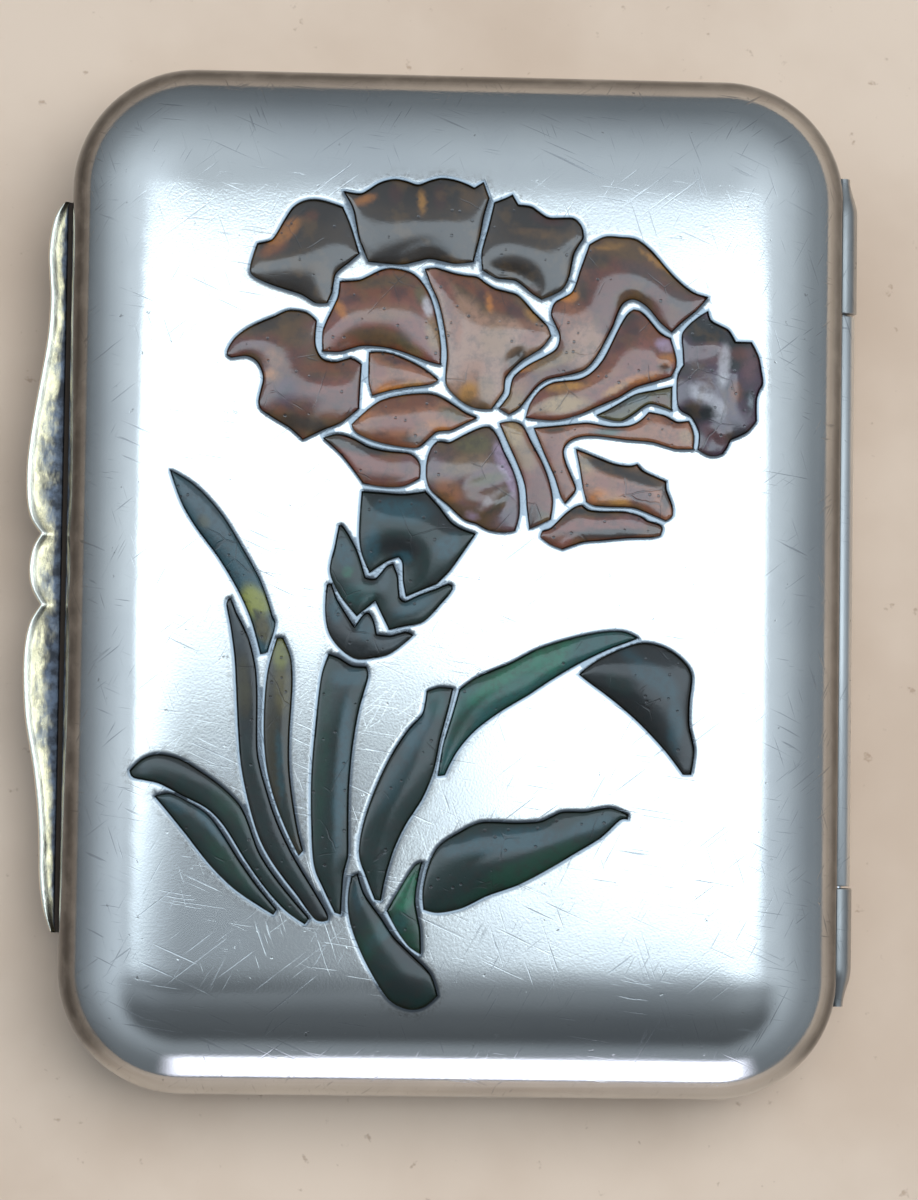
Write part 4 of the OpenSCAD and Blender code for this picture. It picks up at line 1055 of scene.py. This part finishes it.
def enamel_points(loop, rim, step=0.19):
    """Points of a cell's face: its outline, a lattice, and two rows that follow the rim."""
    grid = hex_points(loop.min(0), loop.max(0), step)
    grid = grid[inside(grid, loop)]
    layers = [loop, grid[distances(grid, rim) > 0.27]]
    for offset in (0.08, 0.19):
        near = loop - outward(loop) * offset
        near = near[inside(near, loop)]
        layers.append(near[distances(near, rim) > 0.93 * offset])
    return np.concatenate(layers)


def glass_swell(node, place, triangles, rim_count, reach):
    """How high the glass stands over its rim: a dome with slow waves, lumps and hollows."""
    swell = dome(place, triangles, rim_count, BEND)
    swell *= min(1, PEAK / swell.max())
    waves = RIPPLES * waviness(place, 0.45, 0.45, 7.7)
    for x, y, length, width, turn, height in LUMPS.get(node, []):
        along, across = turned(place, x, y, turn)
        waves += height * np.exp(-(along / length) ** 2 - (across / width) ** 2)
    return swell + waves * smooth(reach / 0.5)


def make_enamel(node):
    """One cell's enamel: a swollen top, upright sides and a flat underside."""
    loop = OUTLINES[node]
    rim = nearest_tree(refine(loop, 0.03, corner_deg=180))
    place = enamel_points(loop, rim)
    _, triangles, _, where = triangulate(place, [np.arange(len(loop))])
    back = {where[k]: k for k in range(len(place))}
    triangles = [tuple(back[v] for v in t) for t in triangles]
    count, total = len(loop), len(place)
    reach = distances(place, rim)
    swell = glass_swell(node, place, triangles, count, reach)
    top = lid_z(place[:, 0], place[:, 1]) + swell - SUNK - RIM_DIP * np.exp(-reach / 0.06)
    under = np.minimum(lid_z(loop[:, 0], loop[:, 1]), CASE_H) - CELL_DEPTH
    points = np.concatenate([np.column_stack([place, top]), np.column_stack([loop, under])])
    faces = triangles + [(k, total + k, total + (k + 1) % count, (k + 1) % count) for k in range(count)]
    faces.append(tuple(total + k for k in range(count)))
    at_rim = np.zeros(count)
    tilt = np.concatenate([north_slope(place, triangles, swell), at_rim])
    # The colour includes painted shade on tilted glass and at the rim, and painted highlights and
    # reflections.
    colour = enamel_colour_with_painted_light(points[:, :2], np.concatenate([reach, at_rim]), tilt, node)
    is_petal = node in PETALS
    material = PETAL_ENAMEL if is_petal else LEAF_ENAMEL
    add_piece(node + "_enamel", points, faces, "lid",
              [material], [node], sharp=50, attributes={"stain": colour})


# ---- Thumb piece, hinge and bezel ----

RAIL_LIP_Z = 4.50        # top of the rail's raised lip
RAIL_TROUGH_Z = 4.37     # the flat between the lip and the case
RAIL_EDGE_X = -19.94     # the outline's points beyond this make the rail's outer edge


def rail_profile(x_out, y):
    """The rail's closed section at y, as (x, z, how worn, how grimy and shaded); x_out is its outer edge."""
    wall = -CASE_W / 2
    gap_x = wall - min(0.26, 0.4 * (wall - x_out))
    lip = min(0.34, 0.5 * (gap_x - x_out))
    floor_z = RAIL_TROUGH_Z + 0.02 * noise.noise(Vector((0, y * 1.3, 0)))
    # The last number mixes grime and painted shade: highest in the gap by the case and under the rail.
    under = [(wall + 0.22, 2.95, 0, 1), (x_out + 0.5 * lip, 2.92, 0, 0.5), (x_out + 0.2 * lip, 3.0, 0, 0.4)]
    outside = [(x_out, 3.2, 0, 0.3), (x_out, 4.0, 0.5, 0.1), (x_out + 0.04 * lip, 4.36, 1, 0)]
    crest = [(x_out + 0.16 * lip, 4.46, 1, 0), (x_out + 0.34 * lip, RAIL_LIP_Z, 1, 0),
             (x_out + 0.55 * lip, 4.485, 1, 0), (x_out + 0.8 * lip, 4.46, 0.8, 0.05),
             (x_out + 1.1 * lip, 4.425, 0.4, 0.1), (x_out + 1.45 * lip, floor_z + 0.02, 0, 0.15)]
    trough = [(x_out + 0.6 * (gap_x - x_out + lip), floor_z, 0, 0.5), (gap_x - 0.08, floor_z, 0, 0.75),
              (gap_x - 0.02, floor_z - 0.02, 0, 0.85), (gap_x, floor_z - 0.07, 0, 1)]
    gap = [(gap_x + 0.03, 4.24, 0, 1), (wall + 0.03, 4.22, 0, 1), (wall + 0.08, 3.4, 0, 1)]
    return under + outside + crest + trough + gap


def make_thumb_piece():
    """The rail on the left side: its section swept along the CAD outline's outer edge."""
    outline = refine(lowest_outline("thumb_piece"), 0.28, 30)
    edge = outline[outline[:, 0] < RAIL_EDGE_X]
    edge = edge[np.argsort(-edge[:, 1])]
    sections = np.array([[(x, y, z, w, g) for x, z, w, g in rail_profile(x_out, y)] for x_out, y in edge])
    rows = sections.reshape(-1, 5)
    add_piece("thumb_rail", rows[:, :3], tube_faces(len(sections), sections.shape[1]), "base",
              [GILT], ["thumb_piece"], sharp=85, attributes={"worn": rows[:, 3], "grime_and_gap_shade": rows[:, 4]})


def lathe(profile, axis_point, steps=40):
    """A ring swept about a line along Y: profile holds (radius, y) round a closed section."""
    points, faces = [], []
    count = len(profile)
    for s in range(steps):
        a = 2 * math.pi * s / steps
        points += [(axis_point[0] + r * math.cos(a), y, axis_point[1] + r * math.sin(a)) for r, y in profile]
    for s in range(steps):
        faces += strip(s * count, (s + 1) % steps * count, count)
    return np.array(points), faces


def knuckle_profile(radius, y0, y1, bore):
    """A tube with eased ends, from y0 to y1."""
    ease = 0.06 if y1 > y0 else -0.06
    return [(bore, y0 + ease), (bore + 0.04, y0), (radius - 0.07, y0), (radius - 0.015, y0 + 0.4 * ease),
            (radius, y0 + 1.2 * ease), (radius, (y0 + y1) / 2), (radius, y1 - 1.2 * ease),
            (radius - 0.015, y1 - 0.4 * ease), (radius - 0.07, y1), (bore + 0.04, y1), (bore, y1 - ease)]


def tapered_knuckle(radius, y0, sign, bore):
    """An end knuckle: a tube from y0 outwards that narrows to a closed tip round the pin's end."""
    y1, y2 = sign * KNUCKLE_END_Y, sign * (KNUCKLE_END_Y + KNUCKLE_TAPER)
    inner = sign * (KNUCKLE_END_Y + 0.6)
    body = [(bore, y0 + sign * 0.05), (bore + 0.04, y0), (radius - 0.07, y0),
            (radius - 0.01, y0 + sign * 0.04), (radius, y0 + sign * 0.1), (radius, y1 - sign * 0.3)]
    for k in range(1, 9):
        t = k / 8
        y = y1 - sign * 0.3 + sign * (KNUCKLE_TAPER + 0.3) * t
        body.append((radius * (1 - TAPER_LOSS * smooth(t)), y))
    body += [(radius * 0.3, y2 + sign * 0.02), (0.001, y2 + sign * 0.03), (0.001, inner), (bore, inner)]
    return body


KNUCKLE_GAP = 0.05       # half the gap between two knuckles


def make_hinge():
    """The middle barrel turns with the lid and the two end barrels stay with the base."""
    axis = (HINGE_X, MID_Z)
    low, high = MIDDLE_Y
    points, faces = lathe(knuckle_profile(MIDDLE_R, low + KNUCKLE_GAP, high - KNUCKLE_GAP, 0.25), axis)
    add_piece("hinge_barrel_middle", points, faces, "lid", [BARREL_SILVER],
              ["hinge_knuckle_middle"], attributes={"tarnish_and_shade": np.full(len(points), 0.1)})
    for sign, start, end in ((1, high + KNUCKLE_GAP, "top"), (-1, low - KNUCKLE_GAP, "bottom")):
        points, faces = lathe(tapered_knuckle(KNUCKLE_R, start, sign, 0.22), axis)
        add_piece("hinge_barrel_" + end, points, faces, "base", [BARREL_SILVER],
                  ["hinge_knuckle_" + end], attributes={"tarnish_and_shade": np.full(len(points), 0.5)})


def make_bezel():
    """The raised ring that the lid closes over, with the groove that grips it."""
    top, low = MID_Z + 1.2, MID_Z - 1.3
    profile = [(1.1, low), (1.1, top - 0.14), (1.06, top - 0.04), (0.97, top), (0.88, top),
               (0.79, top - 0.05), (0.75, top - 0.16), (0.75, MID_Z - 0.1), (0.59, MID_Z - 0.2),
               (0.59, MID_Z - 0.7), (0.75, MID_Z - 0.8), (0.75, low)]
    count = len(RING_P)
    rings = [ring(u, z) for u, z in profile]
    faces = []
    for r in range(len(rings)):
        faces += strip(r * count, (r + 1) % len(rings) * count, count)
    points = np.concatenate(rings)
    worn = np.repeat([0.1, 0.3, 0.9, 1, 1, 0.9, 0.3, 0.1, 0, 0, 0, 0], count)
    add_piece("gilt_bezel", points, faces, "base", [GILT], ["base_bezel"], sharp=50,
              attributes={"worn": worn.astype(float)})


# ---- Inside: linings, leaves, spine ----

QUILT = 6.4              # length over which the quilting repeats


def pad_surface(low, high, face_up, cols=64, rows=92):
    """A thin quilted pad that fills the box from low to high; its soft side faces up or down."""
    cx, cy = (low[0] + high[0]) / 2, (low[1] + high[1]) / 2
    hx, hy = (high[0] - low[0]) / 2, (high[1] - low[1]) / 2
    thick = high[2] - low[2]
    soft, hard = [], []
    for r in range(rows + 1):
        for c in range(cols + 1):
            sx, sy = 2 * c / cols - 1, 2 * r / rows - 1
            x = cx + hx * sx * (1 - 0.016 * (1 - sy ** 4))
            y = cy + hy * sy * (1 - 0.010 * (1 - sx ** 4))
            edge = (1 - abs(sx) ** 14) * (1 - abs(sy) ** 18)
            diamond = abs(math.sin(math.pi * (x + y) / QUILT) * math.sin(math.pi * (x - y) / QUILT))
            puff = 0.45 + 0.55 * diamond ** 0.5
            rumple = 0.06 * noise.noise(Vector((x * 0.7, y * 0.7, thick)))
            height = thick * min(1.0, (0.18 + 0.80 * edge ** 0.6 * puff) + rumple * edge)
            soft.append((x, y, low[2] + height if face_up else high[2] - height))
            hard.append((x, y, low[2] if face_up else high[2]))
    return np.array(soft + hard), slab_faces(cols, rows)


def make_linings():
    """A padded silk lining in each half."""
    for node, name, body, face_up in (("lining_card", "base_lining_silk", "base", True),
                                      ("lid_lining", "lid_lining_silk", "lid", False)):
        points, faces = pad_surface(*box_mm(node), face_up)
        piece = add_piece(name, points, faces, body, [SILK], [node], sharp=70)


NEEDLES = {k: [f"needle_{k}{j}" for j in (1, 2, 3)] for k in (1, 2, 3)}


def stitch_height(x, y, needles):
    """Where the cloth is pushed up over a needle that is run through it."""
    rise = 0.0
    for nx, y0, y1 in needles:
        across = math.exp(-((x - nx) / 0.42) ** 2)
        for share in (0.24, 0.62):
            middle = y0 + share * (y1 - y0)
            along = smooth((2.3 - abs(y - middle)) / 0.9)
            rise = max(rise, 0.62 * across * along)
    return rise


PINK_PITCH = 1.37        # length of one pinked tooth
PINK_DEPTH = 0.42
LEAF_ROOT = 0.9          # how far a leaf reaches into the clamp


def tooth(along):
    """How deep the pinked edge is cut at a place along it."""
    return PINK_DEPTH * abs(((along / PINK_PITCH) % 1) - 0.5) * 2


def leaf_points(k, low, high, needles, cols, rows):
    """The leaf's two sides as grids: pinked along three edges, a little wavy, lifted over the needles."""
    z = (low[2] + high[2]) / 2
    half = (high[2] - low[2]) / 2 - 0.06
    x0, x1, y1 = low[0], high[0] + LEAF_ROOT, high[1]
    upper, lower = [], []
    for r in range(rows + 1):
        for c in range(cols + 1):
            sx, sy = c / cols, 2 * r / rows - 1
            x_flat, y_flat = x0 + (x1 - x0) * sx, sy * y1
            cut_x = tooth(y_flat) * (1 - smooth(sx * 9))
            cut_y = tooth(x_flat) * smooth((abs(sy) - 0.93) / 0.07) * (x_flat < high[0] - 0.5)
            x = x_flat + cut_x
            y = y_flat - math.copysign(cut_y, sy)
            wave = 0.10 * noise.noise(Vector((x * 0.16, y * 0.12, k * 3.3))) * smooth((high[0] - x) / 6)
            thin = 1 - 0.35 * (1 - smooth(min(sx * 14, (1 - abs(sy)) * 22)))
            rise = stitch_height(x, y, needles)
            upper.append((x, y, z + wave + half * thin + rise))
            lower.append((x, y, z + wave - half * thin))
    return np.array(upper + lower)


def make_leaf(k):
    """One flannel leaf, with the needles run under its stitches."""
    node = f"flannel_leaf_{k}"
    low, high = box_mm(node)
    cols, rows = 88, 240
    needles = []
    for name in NEEDLES[k]:
        a, b = box_mm(name)
        needles.append(((a[0] + b[0]) / 2, a[1], b[1]))
    points = leaf_points(k, low, high, needles, cols, rows)
    piece = add_piece(f"flannel_page_{k}", points, slab_faces(cols, rows), None, [FLANNEL], sharp=60)
    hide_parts(node)
    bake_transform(piece)


def make_spine(layers=5, stations=90):
    """The roots of the leaves, stacked with spacers of the same flannel and clamped under a bar."""
    low, high = box_mm("leaf_spine")
    side = []
    for k in range(layers):
        z0 = low[2] + (high[2] - low[2]) * k / layers
        z1 = low[2] + (high[2] - low[2]) * (k + 1) / layers
        side += [(0.10, z0 + 0.03), (0.02, z0 + 0.2), (0.0, (z0 + z1) / 2)]
        side += [(0.02, z1 - 0.2), (0.10, z1 - 0.03)]
    profile = [(low[0] + d, z, 1) for d, z in side] + [(high[0] - d, z, -1) for d, z in side[::-1]]
    points = []
    for y in np.linspace(low[1], high[1], stations):
        end = 0.12 * (abs(y) > high[1] - 0.2)
        points += [(x + 0.05 * noise.noise(Vector((x, y * 0.9, z * 2))) + end * inwards, y, z)
                   for x, z, inwards in profile]
    add_piece("leaf_roots", np.array(points), tube_faces(stations, len(profile)), "base",
              [FLANNEL], ["leaf_spine"], sharp=50)


def make_bar():
    """The flat bar over the leaves' roots, with rounded corners and an eased top edge."""
    low, high = box_mm("spine_bar")
    centre, size = (low + high) / 2, high - low
    mesh = bmesh.new()
    bmesh.ops.create_cube(mesh, size=1.0)
    for v in mesh.verts:
        v.co = Vector([centre[i] + v.co[i] * size[i] for i in range(3)])

    def rise(edge):
        return abs(edge.verts[0].co.z - edge.verts[1].co.z)

    upright = [e for e in mesh.edges if rise(e) > 0.1]
    bmesh.ops.bevel(mesh, geom=upright, offset=0.8, segments=6, affect="EDGES")
    rims = [e for e in mesh.edges
            if rise(e) < 1e-4 and e.verts[0].co.z > centre[2] and e.calc_face_angle(0) > 0.5]
    bmesh.ops.bevel(mesh, geom=rims, offset=0.09, segments=3, affect="EDGES")
    points = np.array([tuple(v.co) for v in mesh.verts])
    faces = [tuple(v.index for v in f.verts) for f in mesh.faces]
    mesh.free()
    add_piece("spine_bar_silver", points, faces, "base", [SILVER], ["spine_bar"])


def make_rivets(steps=28):
    """Two domed rivet heads with their shanks, one near each end of the bar."""
    low, high = box_mm("spine_rivets")
    radius, top = (high[0] - low[0]) / 2, high[2]
    x, y = (low[0] + high[0]) / 2, high[1] - radius
    profile = [(0.3, 3.0), (0.3, top - 0.25), (radius, top - 0.25), (radius, top - 0.2)]
    profile += [(radius * math.cos(a), top - 0.2 + 0.2 * math.sin(a)) for a in np.linspace(0.15, 1.45, 7)]
    turns = [2 * math.pi * s / steps for s in range(steps)]
    points, faces = [], []
    for centre_y in (y, -y):
        first = len(points)
        for r, z in profile:
            points += [(x + r * math.cos(a), centre_y + r * math.sin(a), z) for a in turns]
        faces += [tuple(first + i for i in face) for face in tube_faces(len(profile), steps)]
    add_piece("spine_rivet_heads", np.array(points), faces, "base", [SILVER], ["spine_rivets"])


def dress_cad_nodes():
    """The needles and the hinge pin keep their CAD shapes."""
    for node in [n for names in NEEDLES.values() for n in names] + ["hinge_pin"]:
        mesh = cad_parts[node].data
        mesh.materials.clear()
        mesh.materials.append(STEEL)


# ---- Studio ----

def make_floor(half=2.5):
    """A wide pale floor, faintly clouded and speckled."""
    n = Nodes("pale_floor")
    cloud = n.noise(0.05, 5.0)
    speck = n.remap(n.noise(0.9, 3.0, 0.6), 0.66, 0.74)
    base = n.mix(n.remap(cloud, 0.35, 0.65), srgb(213, 193, 174), srgb(200, 178, 158))
    base = n.mix(n.times(speck, 0.6), base, srgb(158, 130, 108))
    material = n.shader(Base_Color=base, Roughness=0.7, Normal=n.bump(cloud, 0.0002, 0.3))
    mesh = bpy.data.meshes.new("floor")
    corners = [(-half, -half, 0), (half, -half, 0), (half, half, 0), (-half, half, 0)]
    mesh.from_pydata(corners, [], [(0, 1, 2, 3)])
    mesh.materials.append(material)
    floor = bpy.data.objects.new("floor", mesh)
    bpy.context.scene.collection.objects.link(floor)


def panel_mesh(name, size, material):
    """An upright-facing rectangle centred on its own origin."""
    w, l = size[0] / 2, size[1] / 2
    mesh = bpy.data.meshes.new(name)
    mesh.from_pydata([(-w, -l, 0), (w, -l, 0), (w, l, 0), (-w, l, 0)], [], [(0, 1, 2, 3)])
    mesh.materials.append(material)
    panel = bpy.data.objects.new(name, mesh)
    bpy.context.scene.collection.objects.link(panel)
    panel.visible_camera = False
    return panel


def glow(n, power, tint, clear=1.0):
    """Light given off by a panel that the sky still shows through."""
    light = n.add("Emission", {"Color": tint, "Strength": power}).outputs[0]
    through = n.add("BsdfTransparent", {"Color": n.mix(clear, (0, 0, 0), (1, 1, 1))}).outputs[0]
    both = n.add("AddShader", {0: light, 1: through}).outputs[0]
    n.add("OutputMaterial", {"Surface": both})


def make_strip():
    """The skylight overhead: long in X, with soft sides and a shadow over its near left part."""
    n = Nodes("overhead_strip")
    d = n.add("SeparateXYZ", {0: n.add("TexCoord").outputs["Object"]})
    x, y = d.outputs["X"], d.outputs["Y"]
    ends = n.times(n.remap(x, -0.46, -0.30), n.remap(x, 0.40, 0.22))
    sides = n.times(n.remap(y, -0.062, -0.016), n.remap(y, 0.120, 0.102))
    right = n.minus(n.times(x, 1.25), n.plus(n.times(y, 0.47), 0.0054))
    left = n.minus(0.014, n.times(x, 0.095))
    off_x = n.math("MAXIMUM", right, left)
    off_y = n.math("MAXIMUM", n.plus(y, 0.020), 0.0)
    far = n.math("SQRT", n.plus(n.times(off_x, off_x), n.times(off_y, off_y)))
    shade = n.remap(far, 0.014, 0.076)
    power = n.times(n.times(ends, sides), shade)
    glow(n, n.times(power, 2.1), (0.74, 0.90, 1.02), n.remap(far, 0.02, 0.08, 0.6, 1.0))
    panel_mesh("overhead_strip", (1.1, 0.30), n.owner).location = (0, 0, 0.60)


def make_window():
    """A low bright window towards the camera's feet: it shows only as a line along the near edge."""
    n = Nodes("low_window")
    d = n.add("SeparateXYZ", {0: n.add("TexCoord").outputs["Object"]})
    x, y = d.outputs["X"], d.outputs["Y"]
    ends = n.times(n.remap(x, -0.30, 0.14), n.remap(x, 0.45, 0.0))
    sides = n.times(n.remap(y, -0.21, -0.17), n.remap(y, 0.21, 0.08))
    glow(n, n.times(n.times(ends, sides), 4.0), (0.86, 0.90, 1.08))
    window = panel_mesh("low_window", (1.3, 0.42), n.owner)
    window.location = (0.05, -0.85, 0.24)
    window.rotation_euler = (math.radians(90), 0, 0)
    window.visible_diffuse = False


def make_world():
    """A grey sky, brighter overhead and to the sides, with a dark patch where the photographer stands."""
    n = Nodes("studio_sky", world=True)
    d = n.add("SeparateXYZ", {0: n.add("TexCoord").outputs["Generated"]})
    x, y, z = d.outputs["X"], d.outputs["Y"], d.outputs["Z"]
    rise = n.math("POWER", n.remap(z, 0.26, 0.92, 0.0, 1.0, "LINEAR"), 1.4)
    level = n.plus(0.19, n.times(rise, 0.40))
    flat = n.plus(0.03, n.plus(n.times(x, x), n.times(y, y)))
    sideways = n.math("DIVIDE", n.times(x, x), flat)
    side = n.times(sideways, n.minus(0.68, n.times(x, 0.22)))
    level = n.times(level, n.plus(1.0, side))
    person = n.plus(n.remap(y, -0.02, -0.16, 0.0, 0.60), n.remap(y, -0.14, -0.45, 0.0, 0.19))
    person = n.times(person, n.remap(z, 0.50, 0.74))
    wide = n.remap(n.math("ABSOLUTE", x), 0.80, 0.50)
    shade = n.times(person, wide)
    level = n.times(level, n.minus(1.0, shade))
    back = n.add("Background", {"Color": (0.82, 0.97, 1.11), "Strength": level})
    n.add("OutputWorld", {"Surface": back.outputs[0]})
    bpy.context.scene.world = n.owner


def make_fill():
    """Soft light from above for the cloth, the floor and the enamel's depth, not mirrored in the metal."""
    data = bpy.data.lights.new("soft_fill", "AREA")
    data.shape = "RECTANGLE"
    data.size, data.size_y = 0.9, 0.7
    data.energy = 6.4
    fill = bpy.data.objects.new("soft_fill", data)
    bpy.context.scene.collection.objects.link(fill)
    fill.location = (0.25, 0.20, 0.8)
    fill.rotation_euler = (math.radians(-14), math.radians(17), 0)
    fill.visible_glossy = False
    fill.visible_camera = False


def make_camera():
    """A long lens, nearly straight above, a little turned and leaned."""
    data = bpy.data.cameras.new("camera")
    data.lens, data.sensor_width = 116.47, 36
    data.clip_start, data.clip_end = 0.01, 20
    camera = bpy.data.objects.new("camera", data)
    bpy.context.scene.collection.objects.link(camera)
    right = Vector((0.9986, 0.0144, 0.0518)).normalized()
    back = Vector((-0.0509, -0.0566, 0.9971)).normalized()
    up = back.cross(right).normalized()
    right = up.cross(back)
    matrix = Matrix((right, up, back)).transposed().to_4x4()
    matrix.translation = Vector((-9.71, -11.90, 199.97)) * MM
    camera.matrix_world = matrix
    bpy.context.scene.camera = camera


make_world()
make_strip()
make_window()
make_fill()
make_floor()
make_camera()
bpy.context.scene.view_settings.view_transform = "Standard"
make_lid()
make_base()
for cell in CELLS:
    make_enamel(cell)
make_thumb_piece()
make_hinge()
make_bezel()
make_linings()
for leaf in (1, 2, 3):
    make_leaf(leaf)
make_spine()
make_bar()
make_rivets()
dress_cad_nodes()
